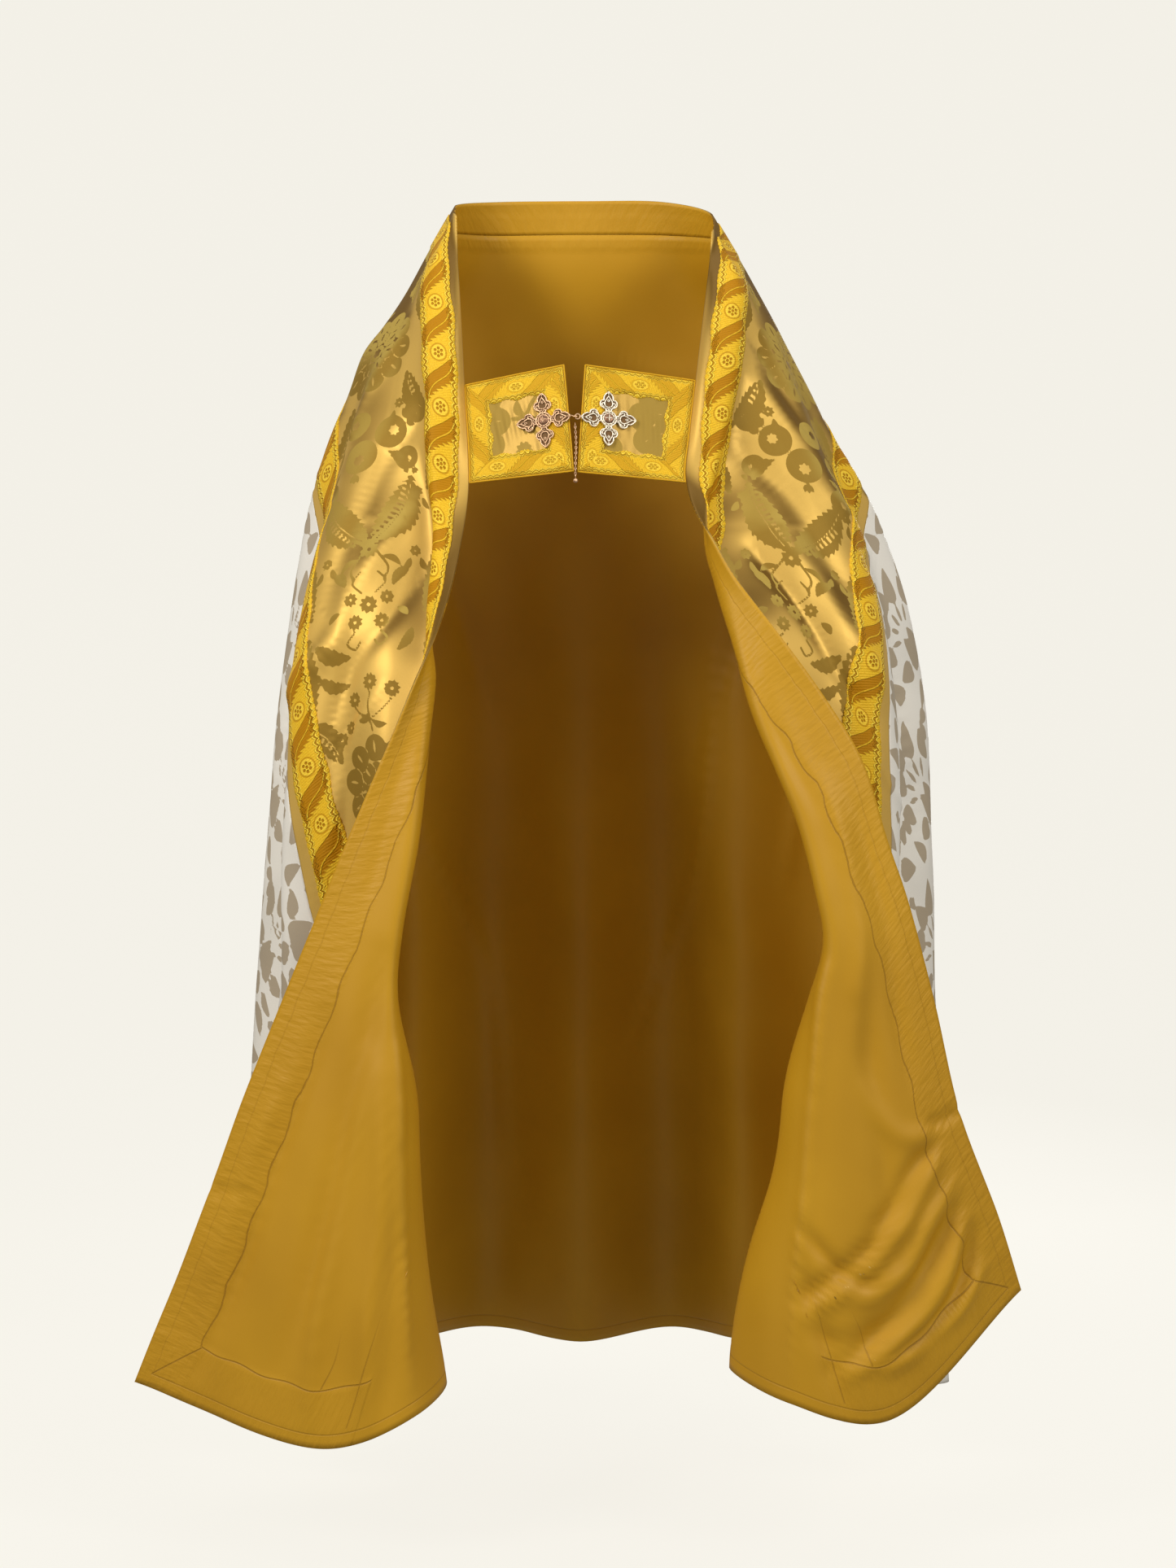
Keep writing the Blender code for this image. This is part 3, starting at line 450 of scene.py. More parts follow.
def creased(rows):
    """The worn shape with its creases and a slight unevenness."""
    places = np.arange(rows.shape[1]) / SAMPLES
    lift = np.zeros(rows.shape[:2])
    across, down = seen(rows)
    for side, first, last, group in SEEN_CREASES:
        spot = places if side < 0 else 2 * LINES - places
        barred = np.where((spot >= first) & (spot <= last), 0, 1e6)[None]
        for half_width, height, points in group:
            path = []
            for x, y in points:
                away = np.hypot(across - x, down - y) + barred
                path.append(np.unravel_index(away.argmin(), away.shape))
            lift += crease(rows, path, half_width, height)
    for side, half_width, height, points in HIDDEN_CREASES:
        path = [(drop * LEVELS, (place if side < 0 else 2 * LINES - place) * SAMPLES)
                for place, drop in points]
        lift += crease(rows, path, half_width, height)
    x, y, z = rows[..., 0], rows[..., 1], rows[..., 2]
    drop = np.linspace(0, 1, len(rows))[:, None]
    uneven = (np.sin(31 * x + 9 * y + 3 * np.sin(7 * z)) * np.sin(11 * z + 4 * np.sin(9 * x - 7 * y))
              + 0.5 * np.sin(57 * x - 41 * y + 19 * z))
    lift += 0.0011 * ease(drop, 0.0, 0.12) * uneven
    return rows + crossways(rows) * lift[..., None]


PLAIN_ROWS, ALONG = worn_rows()
MID = LINES * SAMPLES       # column of the middle of the back
WORN_ROWS = creased(PLAIN_ROWS)
OUTWARD = crossways(WORN_ROWS)
SPOTS = 1400                # steps along a row in the table of places
PLACE_OF = np.array([np.interp(np.linspace(0, row[-1], SPOTS + 1), row, np.arange(len(row)))
                     for row in ALONG])


def full_reach(turn):
    """Length from the neck to the hem in a direction round the neck."""
    return -NECK * np.cos(turn) + np.sqrt(REACH ** 2 - (NECK * np.sin(turn)) ** 2)


def flat_polar(s, t):
    """Distance from the neck, length from the straight edge and share of the drop."""
    out = np.abs(s)
    turn = np.arctan2(t, np.maximum(out - NECK, 0))
    reach = np.hypot(np.maximum(out - NECK, 0), t)
    straight = out <= NECK
    drop = np.where(straight, t / np.sqrt(REACH ** 2 - np.minimum(out, NECK) ** 2),
                    reach / full_reach(turn))
    arc = np.where(straight, t * math.pi / 2 + NECK - out, reach * turn)
    return reach, arc, drop


def totals(drop):
    """Whole length of a row, and of its half on the wearer's right."""
    level = np.clip(drop, 0, 1) * LEVELS
    steps = np.arange(LEVELS + 1)
    return np.interp(level, steps, ALONG[:, -1]), np.interp(level, steps, ALONG[:, MID])


def free_length(reach, whole):
    """Flat length of half a row, and the stretch at its front that keeps its length."""
    flat_whole = reach * math.pi / 2 + NECK
    return flat_whole, np.minimum(np.minimum(0.32, 0.6 * flat_whole), 0.8 * whole)


def worn_length(arc, reach, whole):
    """Length along the worn row for a length along the flat row."""
    flat_whole, free = free_length(reach, whole)
    return np.where(arc <= free, arc, free + (arc - free) * (whole - free) / (flat_whole - free))


def hung(drop, length):
    """Worn point and outward direction at a share of the drop and a length along the row."""
    total, _ = totals(drop)
    level = np.clip(drop, 0, 1) * LEVELS
    column = linear(PLACE_OF, level, np.clip(length / total, 0, 1) * SPOTS)
    outward = np.stack([linear(OUTWARD[..., k], level, column) for k in range(3)], axis=-1)
    outward /= np.linalg.norm(outward, axis=-1)[..., None]
    return cubic(WORN_ROWS, level, column), outward


def worn(s, t):
    """Worn point and outward direction for points of the flat cut."""
    s, t = np.broadcast_arrays(np.asarray(s, float), np.maximum(np.asarray(t, float), 0))
    reach, arc, drop = flat_polar(s, t)
    total, left = totals(drop)
    whole = np.where(s < 0, left, total - left)
    arc = worn_length(arc, reach, whole)
    return hung(drop, np.where(s < 0, arc, total - arc))


# Woven figures, in millimetres
def direction(angle):
    """Cosine and sine of an angle in degrees."""
    return math.cos(math.radians(angle)), math.sin(math.radians(angle))


def turned(x, y, place, angle):
    """Distance along and across a direction from a place."""
    c, s = direction(angle)
    x, y = x - place[0], y - place[1]
    return x * c + y * s, y * c - x * s


def leaf(x, y, place, angle, length, half, bend=0.0, skew=1.0, teeth=0, tooth=0.0):
    """How deep a point lies in a leaf that starts at a place. Skew under 1 makes it broad there."""
    along, across = turned(x, y, place, angle)
    share = np.clip(along / length, 0, 1)
    across = across - bend * np.sin(math.pi * share)
    edge = half * np.sin(math.pi * share ** skew) ** 0.8
    if teeth:
        edge = edge - tooth * np.mod(teeth * share, 1) * (share > 0.05)
    return np.minimum(edge - np.abs(across), np.minimum(along, length - along))


def disc(x, y, place, radius):
    """How deep a point lies in a disc."""
    return radius - np.hypot(x - place[0], y - place[1])


def stem(x, y, half, points):
    """How deep a point lies in a line through points."""
    line = smooth([(*point, 0.0) for point in points], 5)[:, :2]
    found = -99.0
    for (ax, ay), (bx, by) in zip(line, line[1:]):
        dx, dy = bx - ax, by - ay
        share = np.clip(((x - ax) * dx + (y - ay) * dy) / (dx * dx + dy * dy), 0, 1)
        found = np.maximum(found, half - np.hypot(x - ax - share * dx, y - ay - share * dy))
    return found


def daisy(x, y, place, radius, petals, hole=0.22):
    """How deep a point lies in a flower with an open middle."""
    dx, dy = x - place[0], y - place[1]
    away = np.hypot(dx, dy)
    rim = radius * (0.84 + 0.16 * np.cos(petals * np.arctan2(dy, dx)))
    return np.minimum(rim - away, away - hole * radius)


def fern(x, y, place, angle, length, half, bend, bars):
    """A serrated leaf with a comb of light bars down one side of its rib."""
    whole = leaf(x, y, place, angle, length, half, bend, 0.85, bars, 0.22 * half)
    along, across = turned(x, y, place, angle)
    share = np.clip(along / length, 0, 1)
    across = across - bend * np.sin(math.pi * share)
    comb = np.minimum(1.7 - np.abs(np.mod(along, 7.0) - 3.5),
                      0.17 * half * np.sin(math.pi * share) - np.abs(across - 0.28 * half))
    rib = np.minimum(0.8 - np.abs(across), np.minimum(along - 8, 0.9 * length - along))
    return np.minimum(whole, -np.maximum(comb, rib))


def peony(x, y, place):
    """A full flower with two rings of petals."""
    found = np.minimum(disc(x, y, place, 12.0), -daisy(x, y, place, 7.5, 6, 0.0))
    for count, ring, radius in ((7, 24.0, 11.5), (10, 45.0, 15.0)):
        for k in range(count):
            angle = 2 * math.pi * (k + 0.5 * (count == 10)) / count
            spot = (place[0] + ring * math.cos(angle), place[1] + ring * math.sin(angle))
            petal = disc(x, y, spot, radius)
            degrees = math.degrees(angle)
            vein = leaf(x, y, (spot[0] - 6 * math.cos(angle), spot[1] - 6 * math.sin(angle)),
                        degrees, 15.0, 1.6)
            found = np.maximum(np.minimum(found, -petal - 1.4), np.minimum(petal, -vein))
    return found


def fruit(x, y, place, radius, angle):
    """A round fruit with a light star and a crown."""
    c, s = direction(angle)
    star = (place[0] + 0.2 * radius * c, place[1] + 0.2 * radius * s)
    body = np.minimum(disc(x, y, place, radius), -daisy(x, y, star, 0.36 * radius, 7, 0.0))
    found = body
    for lean in (-28, 0, 28):
        found = np.maximum(found, leaf(x, y, (place[0] + 1.06 * radius * c,
                                              place[1] + 1.06 * radius * s),
                                       angle + lean, 0.55 * radius, 0.14 * radius))
    return found


BAND_REPEAT = 560.0        # along the band
BAND_FIRST = 60.0
BAND_PAST = 130.0          # how far a shape may reach past its repeat
PEONY = (150, 300)
# Shapes of the gold damask, each from its place across and along the band
# Ferns: place, angle, length, half width, bend, bars
FERNS = [
    (196, 352, 58, 80, 19, 10, 9), (100, 352, 118, 74, 17, -8, 9), (206, 262, -52, 76, 17, -9, 8),
    (96, 250, -126, 66, 15, 8, 8), (148, 572, -122, 104, 25, -12, 12),
    (152, 572, -58, 104, 25, 12, 12), (226, 108, 84, 112, 24, -8, 12),
    (76, 130, 98, 92, 17, 8, 10), (60, 372, 104, 70, 14, 6, 8), (246, 330, 84, 64, 14, -6, 8),
    (58, 228, 88, 76, 14, -6, 9), (248, 236, 92, 74, 14, 6, 9), (70, 20, 80, 86, 15, 6, 10),
    (232, 4, 96, 88, 15, -6, 10),
]
# Fruits: place, radius, angle
FRUITS = [
    (122, 428, 20.5, 200), (168, 404, 18.5, -40), (160, 452, 22.0, 78), (205, 432, 15.0, 20),
    (86, 404, 17.0, 150), (236, 396, 14.0, 60), (190, 376, 12.0, -10), (100, 464, 15.0, 120),
    (208, 484, 16.0, 60),
]
# Leaves: place, angle, length, half width, bend, and for toothed ones skew, teeth, tooth depth
LEAVES = [
    (126, 452, 128, 44, 9, 7, 1.0, 6, 2.5), (190, 458, 40, 42, 8, -6, 1.0, 6, 2.5),
    (136, 590, 152, 26, 4, 4), (164, 590, 28, 26, 4, -4), (116, 92, 140, 18, 4.5, 2),
    (184, 92, 40, 18, 4.5, -2), (214, 124, 152, 48, 11, -8, 0.8, 6, 3),
    (218, 160, 158, 44, 9, -8, 0.8, 6, 3), (150, 216, 20, 20, 4, 3), (149, 224, 160, 20, 4, -3),
    (66, 470, 76, 40, 10, 5, 0.8, 6, 3), (240, 440, 100, 44, 10, -5, 0.8, 6, 3),
    (96, 120, 60, 34, 7, 4, 0.8, 8, 1.2), (196, 40, 128, 30, 7, 4, 0.8, 8, 1.2),
    (104, 44, 52, 30, 7, -4, 0.8, 8, 1.2),
]
# Flowers: place, radius, petals
DAISIES = [
    (150, 88, 11.5, 9), (128, 80, 9.0, 8), (172, 80, 9.0, 8), (134, 108, 10.0, 9),
    (166, 108, 10.0, 9), (150, 180, 11.0, 10), (176, 196, 10.0, 9), (122, 192, 10.5, 10),
    (186, 226, 9.0, 9), (150, 20, 12.0, 9), (98, 224, 9.5, 8), (202, 236, 9.5, 8),
]
# Stems: half width, points
STEMS = [
    (1.5, [(148, 572), (138, 588), (128, 604), (132, 618)]),
    (1.5, [(152, 572), (162, 588), (172, 604), (168, 618)]),
    (1.3, [(140, 48), (130, 60), (142, 74)]), (1.3, [(160, 48), (170, 60), (158, 74)]),
    (1.4, [(134, 120), (124, 132), (133, 139), (141, 131)]),
    (1.4, [(166, 120), (176, 132), (167, 139), (159, 131)]),
    (1.3, [(150, 192), (153, 212), (150, 236)]), (1.2, [(176, 206), (166, 214), (153, 220)]),
    (1.2, [(123, 203), (136, 214), (150, 222)]),
]
# Small flowers with a leaf on each side
SPRAYS = [(96, 24), (206, 20), (214, 500), (88, 508), (112, 392)]


def band_figure(s, t):
    """Figure of the gold damask: flowers, fruit, ferns and sprays up the middle of the band."""
    x = t * 1000
    y = np.mod(np.abs(s) * 1000 - BAND_FIRST, BAND_REPEAT)
    found = np.full(np.shape(x), -9.0)
    for shift in (-BAND_REPEAT, 0.0, BAND_REPEAT):
        v = y - shift
        near = (v > -BAND_PAST) & (v < BAND_REPEAT + BAND_PAST)
        if not near.any():
            continue
        u, v = x[near], v[near]
        parts = [peony(u, v, PEONY)]
        for shape, rows in ((fern, FERNS), (fruit, FRUITS), (leaf, LEAVES), (daisy, DAISIES)):
            parts += [shape(u, v, (across, along), *rest) for across, along, *rest in rows]
        parts += [stem(u, v, half, points) for half, points in STEMS]
        for across, along in SPRAYS:
            parts.append(daisy(u, v, (across, along), 7.5, 7))
            for way in (1, -1):
                parts.append(leaf(u, v, (across + 6 * way, along + 8), 90 - 30 * way, 18, 4, 2 * way))
        found[near] = np.maximum(found[near], np.max(parts, axis=0))
    return np.clip(found, -6, 6)


CLOTH_WIDE = 150.0         # repeat of the ivory damask
CLOTH_TALL = 210.0
# Matte shapes of one half of the ivory damask: across, up, angle, length, half width, bend, skew
CLOTH_LEAVES = [
    (5, -24, 84, 46, 18, 0, 0.45), (0, -64, 90, 36, 14, 0, 0.8), (0, 62, 90, 38, 14, 0, 0.55),
    (0, 31, 90, 27, 3.4, 0, 1.0), (8, 29, 64, 27, 3.4, 0, 1.0), (15, 23, 38, 26, 3.4, 0, 1.0),
    (27, -8, 16, 34, 13, 0, 0.55), (22, -34, -24, 36, 9, -4, 0.8), (16, 58, 36, 44, 15, 0, 0.5),
    (46, 20, 64, 40, 12, 4, 0.9), (16, -64, -48, 42, 14, 3, 0.6), (75, -12, 84, 36, 12, 0, 0.45),
    (0, 100, 90, 16, 8, 0, 1.0), (53, -62, 20, 26, 9, 4, 0.8), (68, 30, 80, 26, 8, 0, 0.7),
]


def cloth_figure(s, t):
    """Figure of the ivory damask: matte hearts, leaves and fans between satin bands."""
    column = np.floor(s * 1000 / CLOTH_WIDE + 0.5)
    x = np.abs(s * 1000 - column * CLOTH_WIDE)
    found = np.full(np.shape(x), -9.0)
    for across, shift in ((x, 0.0), (CLOTH_WIDE - x, CLOTH_TALL / 2)):
        down = np.mod(column, 2) * CLOTH_TALL / 2 - t * 1000 + shift
        up = np.mod(down + CLOTH_TALL / 2, CLOTH_TALL) - CLOTH_TALL / 2
        for lift in (-CLOTH_TALL, 0.0, CLOTH_TALL):
            for out, high, angle, length, half, bend, skew in CLOTH_LEAVES:
                found = np.maximum(found, leaf(across, up + lift, (out, high), angle, length, half,
                                               bend, skew))
    return np.clip(found, -6, 6)


# Meshes on the cloth
def add_mesh(name, points, faces, uv=None, fields=None, smooth_faces=True):
    """New object from points and faces, with flat coordinates and named numbers at its points."""
    mesh = bpy.data.meshes.new(name)
    mesh.from_pydata([tuple(p) for p in points], [], [tuple(f) for f in faces])
    mesh.update()
    if smooth_faces:
        mesh.polygons.foreach_set("use_smooth", [True] * len(mesh.polygons))
    if uv is not None:
        layer = mesh.uv_layers.new(name="flat")
        corners = np.empty(len(mesh.loops), int)
        mesh.loops.foreach_get("vertex_index", corners)
        layer.data.foreach_set("uv", np.asarray(uv, np.float32)[corners].ravel())
    for key, numbers in (fields or {}).items():
        mesh.attributes.new(key, "FLOAT", "POINT").data.foreach_set("value", numbers.ravel())
    made = bpy.data.objects.new(name, mesh)
    bpy.context.collection.objects.link(made)
    return made


def grid_faces(rows, columns, flip=False):
    """Quads between the points of a grid."""
    a = (np.arange(rows - 1)[:, None] * columns + np.arange(columns - 1)[None]).ravel()
    quads = np.stack([a, a + columns, a + columns + 1, a + 1], axis=1)
    return quads[:, ::-1] if flip else quads


def panel(name, points, outward, front, back, uv, fields=None, flip=False):
    """Thin shell from a grid of cloth points: its showing face, turned in at the borders.

    front, back: heights of the showing face, one or a grid, and of the turned-in border
    """
    def padded(values):
        return np.pad(values, ((1, 1), (1, 1)) + ((0, 0),) * (values.ndim - 2), mode="edge")

    rows, columns = points.shape[0] + 2, points.shape[1] + 2
    heights = np.full((rows, columns), back)
    heights[1:-1, 1:-1] = front
    spots = padded(points) + padded(outward) * heights[..., None]
    fields = {key: padded(numbers) for key, numbers in (fields or {}).items()}
    return add_mesh(name, spots.reshape(-1, 3), grid_faces(rows, columns, flip),
                    padded(uv).reshape(-1, 2), fields)


def along_edge(drop, t):
    """Distance from the nape, along the straight edge, where a share of the drop meets t."""
    low, high = np.zeros(np.broadcast(drop, t).shape), np.full(np.broadcast(drop, t).shape, REACH)
    for _ in range(40):
        middle = (low + high) / 2
        below = flat_polar(middle, t)[2] < drop
        low, high = np.where(below, middle, low), np.where(below, high, middle)
    return (low + high) / 2


def painted_upward_shade(outward):
    """How far a spot faces up, where the damask's ground gets painted shade and its figure painted
    light.
    """
    return ease(outward[..., 2] + 0.10 * outward[..., 0] ** 2, 0.30, 0.55)


def shell_fields(s, t, outward, figure=None):
    """Numbers that the cloth materials read."""
    fields = {"edge": t, "hem": (1 - flat_polar(s, t)[2]) * REACH, "painted_upward_shade": painted_upward_shade(outward)}
    if figure is not None:
        fields["figure"] = figure(s, t)
    return fields


def make_band(side):
    """Gold damask band of one front."""
    down, across = BAND_NET
    t = np.linspace(0.0, BAND, across)[None]
    s = side * np.linspace(0.0, 1.0, down)[:, None] * np.sqrt(REACH ** 2 - t ** 2)
    s, t = np.broadcast_arrays(s, t)
    s = np.where(np.abs(s) < NEAR_NAPE, side * NEAR_NAPE, s)
    points, outward = worn(s, t)
    return panel("band_" + WORDS[side], points, outward, FACE, FACE_BACK, np.stack([s, t], -1),
                 shell_fields(s, t, outward, band_figure), flip=side < 0)


def make_body():
    """Ivory damask cloak behind the band."""
    down, across = BODY_NET
    first = BAND / REACH + 0.0003
    drop = first + (1 - first) * np.linspace(0, 1, down) ** 1.1
    near = along_edge(drop, BAND)
    reach, arc, _ = flat_polar(near, np.full_like(near, BAND))
    total, left = totals(drop)
    start = worn_length(arc, reach, left)
    stop = total - worn_length(arc, reach, total - left)
    share = np.linspace(0, 1, across)
    length = start[:, None] + (stop - start)[:, None] * share[None]
    drop = np.broadcast_to(drop[:, None], length.shape)
    points, outward = hung(drop, length)
    s, t = flat_of(drop, length)
    return panel("cloak_body", points, outward, FACE, 0.0, np.stack([s, t], -1),
                 shell_fields(s, t, outward, cloth_figure), flip=True)


def flat_of(drop, length):
    """Flat point at a share of the drop and a length along the worn row."""
    total, left = totals(drop)
    side = np.where(length < left, -1, 1)
    whole = np.where(side < 0, left, total - left)
    arc = np.minimum(np.where(side < 0, length, total - length), whole)
    turn = np.full(np.shape(drop), math.pi / 4)
    out = np.full(np.shape(drop), NECK)
    for _ in range(30):
        reach = np.maximum(drop * full_reach(turn), 1e-9)
        turn = 0.5 * turn + 0.5 * np.minimum(flat_length(arc, reach, whole) / reach, math.pi / 2)
        rise = drop * np.sqrt(REACH ** 2 - out ** 2)
        past = flat_length(arc, rise, whole) - rise * math.pi / 2
        out = 0.5 * out + 0.5 * np.clip(NECK - past, 0, NECK)
    round_part = flat_length(arc, reach, whole) <= reach * math.pi / 2
    s = np.where(round_part, NECK + reach * np.cos(turn), out)
    return side * s, np.where(round_part, reach * np.sin(turn), rise)


def flat_length(arc, reach, whole):
    """Length along the flat row for a length along the worn row."""
    flat_whole, free = free_length(reach, whole)
    return np.where(arc <= free, arc, free + (arc - free) * (flat_whole - free) / (whole - free))


def lining_grid(drops):
    """Rows of lengths along the cloth, closer together on the turned-out fronts."""
    total, _ = totals(drops)
    dense = np.minimum(0.34, 0.3 * total)[:, None]
    share = np.linspace(0, 1, LINING_NET[1])[None]
    back = np.linspace(0, 1, LINING_NET[2])[None, 1:-1]
    length = np.concatenate([dense * share, dense + (total[:, None] - 2 * dense) * back,
                             total[:, None] - dense * share[:, ::-1]], axis=1)
    return np.broadcast_to(drops[:, None], length.shape), length


def make_lining(name, drops):
    """Lining over a range of the drop. It faces inwards."""
    drop, length = lining_grid(drops)
    points, outward = hung(drop, length)
    s, t = flat_of(drop, length)
    return panel(name, points, outward, LINING, LINING_BACK, np.stack([s, t], -1),
                 shell_fields(s, t, outward))


SCALLOP = 0.0082           # one loop of the braid's border
BRAID_REPEAT = 0.067
LOOP_OUT = 0.0011          # how far the loops and the slow wave stand out at the border
WAVE_OUT = 0.0012
# Amber leaves of the braid in millimetres: half length, half width, bend; lean in degrees
LEAF_LONG = 34.0
LEAF_WIDE = 13.0
LEAF_BEND = 4.5
LEAF_LEAN = -33.0
# Flowers of the braid in millimetres: radius, ring of six eyes round a seventh, radius of an eye
FLOWER = 9.6
EYE_RING = 5.0
FLOWER_EYE = 1.75


def braid_strip(name, start, stop, place, rows, flip, reverse=False):
    """Strip of braid from start to stop, as (along, across) through place(along, across).

    start, stop: distance along at each place across, so that the ends are mitred
    """
    across = np.linspace(-1, 1, BRAID_NET[1])
    share = np.linspace(0, 1, rows)[:, None]
    along = start(across)[None] * (1 - share) + stop(across)[None] * share
    loops = LOOP_OUT * np.abs(np.sin(math.pi * along / SCALLOP))
    wave = WAVE_OUT * np.sin(2 * math.pi * along / BRAID_REPEAT)
    wide = across[None] * (BRAID_WIDE / 2 - 0.0006)
    wide = (wide + np.where(np.abs(across)[None] > 0.8, np.sign(across)[None] * loops, 0)
            + wave * np.abs(across)[None] ** 2 * np.sign(across)[None])
    points, outward = place(along, wide)
    uv = np.stack([along, wide * (-1 if reverse else 1)], axis=-1)
    return panel(name, points, outward, BRAID, BRAID_BACK, uv,
                 {"painted_upward_shade": painted_upward_shade(outward)}, flip)


def make_braids(side):
    """Braid down both sides of a band and across its foot, mitred at the corners."""
    word = WORDS[side]
    half = BRAID_WIDE / 2
    inner = BRAID_IN + half
    outer = BAND - BRAID_IN - half
    made = []

    def down(middle, sign):
        def place(along, across):
            return worn(side * np.maximum(along, NEAR_NAPE), middle + sign * across)
        return place

    for key, middle, sign in (("front", inner, 1), ("outer", outer, -1)):
        def stop(across, middle=middle, sign=sign):
            drop = HEM_BRAID[1] + (HEM_BRAID[0] - HEM_BRAID[1]) * (across + 1) / 2
            return along_edge(drop, middle + sign * across * half)

        other_way = (side < 0) == (sign > 0)
        made.append(braid_strip(f"braid_{key}_{word}", lambda a: np.full(a.shape, NEAR_NAPE), stop,
                                down(middle, sign), BRAID_NET[0], other_way, other_way))

    def foot(along, across):
        drop = sum(HEM_BRAID) / 2 - across * (HEM_BRAID[1] - HEM_BRAID[0]) / BRAID_WIDE
        return worn(side * along_edge(drop, along), along)

    made.append(braid_strip(f"braid_hem_{word}",
                            lambda a: BRAID_IN + half * (1 + a),
                            lambda a: BAND - BRAID_IN - half * (1 + a),
                            foot, HEM_BRAID_ROWS, side < 0))
    return made


# Materials
class Number:
    """A number in a material's nodes, worked with like a plain number."""

    def __init__(self, tree, socket):
        self.tree = tree
        self.socket = socket

    def node(self, kind, *others):
        made = self.tree.nodes.new("ShaderNodeMath")
        made.operation = kind
        for k, other in enumerate((self, *others)):
            if isinstance(other, Number):
                self.tree.links.new(other.socket, made.inputs[k])
            else:
                made.inputs[k].default_value = other
        return Number(self.tree, made.outputs[0])

    def __add__(self, other):
        return self.node("ADD", other)

    def __sub__(self, other):
        return self.node("SUBTRACT", other)

    def __mul__(self, other):
        return self.node("MULTIPLY", other)

    __radd__ = __add__
    __rmul__ = __mul__

    def size(self):
        return self.node("ABSOLUTE")

    def least(self, other):
        return self.node("MINIMUM", other)

    def most(self, other):
        return self.node("MAXIMUM", other)

    def sine(self):
        return self.node("SINE")

    def power(self, other):
        return self.node("POWER", other)

    def fraction(self):
        return self.node("FRACT")

    def limited(self):
        """Kept between 0 and 1."""
        return self.most(0.0).least(1.0)

    def step(self, low, high):
        """0 below low, 1 above high and a soft step between."""
        made = self.tree.nodes.new("ShaderNodeMapRange")
        made.interpolation_type = "SMOOTHSTEP"
        self.tree.links.new(self.socket, made.inputs["Value"])
        made.inputs["From Min"].default_value = low
        made.inputs["From Max"].default_value = high
        return Number(self.tree, made.outputs[0])

    def line(self, middle, half):
        """1 within half of a middle value and 0 further off, softly."""
        return (self - middle).size().step(1.5 * half, 0.5 * half)


def largest(numbers):
    """Largest of several numbers."""
    found = numbers[0]
    for number in numbers[1:]:
        found = found.most(number)
    return found


def length_of(x, y):
    """Length of two numbers taken together."""
    return (x * x + y * y).power(0.5)


class Look:
    """A material with its nodes, its numbers and its shader."""

    def __init__(self, name, rough, metal=0.0, **constant):
        self.material = bpy.data.materials.new(name)
        self.material.use_nodes = True
        self.tree = self.material.node_tree
        self.shader = self.tree.nodes["Principled BSDF"]
        self.set("Roughness", rough)
        self.set("Metallic", metal)
        for key, value in constant.items():
            self.set(key.replace("_", " "), value)

    def put(self, target, value):
        """Connect a number or a socket to an input, or set a plain value there."""
        if isinstance(value, Number):
            value = value.socket
        if isinstance(value, bpy.types.NodeSocket):
            self.tree.links.new(value, target)
        else:
            target.default_value = value

    def set(self, key, value):
        """Give an input of the shader its value."""
        self.put(self.shader.inputs[key], value)

    def field(self, name):
        """Number stored at the points of the mesh."""
        made = self.tree.nodes.new("ShaderNodeAttribute")
        made.attribute_name = name
        return Number(self.tree, made.outputs["Fac"])

    def flat(self):
        """Flat coordinates of the cloth, in millimetres."""
        made = self.tree.nodes.new("ShaderNodeUVMap")
        made.uv_map = "flat"
        split = self.tree.nodes.new("ShaderNodeSeparateXYZ")
        self.tree.links.new(made.outputs[0], split.inputs[0])
        return [Number(self.tree, split.outputs[k]) * 1000.0 for k in (0, 1)]

    def noise(self, x, y, detail=2.0):
        """Soft noise from 0 to 1 over coordinates."""
        join = self.tree.nodes.new("ShaderNodeCombineXYZ")
        for k, value in enumerate((x, y)):
            self.put(join.inputs[k], value)
        made = self.tree.nodes.new("ShaderNodeTexNoise")
        made.inputs["Scale"].default_value = 1.0
        made.inputs["Detail"].default_value = detail
        self.tree.links.new(join.outputs[0], made.inputs["Vector"])
        return Number(self.tree, made.outputs["Fac"])

    def place_noise(self, scale, detail=2.0):
        """Soft noise over the object's own space."""
        where = self.tree.nodes.new("ShaderNodeTexCoord")
        made = self.tree.nodes.new("ShaderNodeTexNoise")
        made.inputs["Scale"].default_value = scale
        made.inputs["Detail"].default_value = detail
        self.tree.links.new(where.outputs["Object"], made.inputs["Vector"])
        return Number(self.tree, made.outputs["Fac"])

    def mix(self, share, one, two):
        """Colour between two colours, each given as numbers or as a socket."""
        made = self.tree.nodes.new("ShaderNodeMix")
        made.data_type = "RGBA"
        self.put(made.inputs[0], share)
        for k, colour in ((6, one), (7, two)):
            self.put(made.inputs[k], (*colour, 1.0) if isinstance(colour, tuple) else colour)
        return made.outputs[2]

    def bump(self, height, strength, distance):
        """Relief from a height between about 0 and 1."""
        made = self.tree.nodes.new("ShaderNodeBump")
        made.inputs["Strength"].default_value = strength
        made.inputs["Distance"].default_value = distance
        self.tree.links.new(height.socket, made.inputs["Height"])
        self.tree.links.new(made.outputs[0], self.shader.inputs["Normal"])


def linear_colour(red, green, blue):
    """Colour given in the 0 to 255 of a screen."""
    return tuple((c / 255 / 12.92) if c <= 10 else ((c / 255 + 0.055) / 1.055) ** 2.4
                 for c in (red, green, blue))


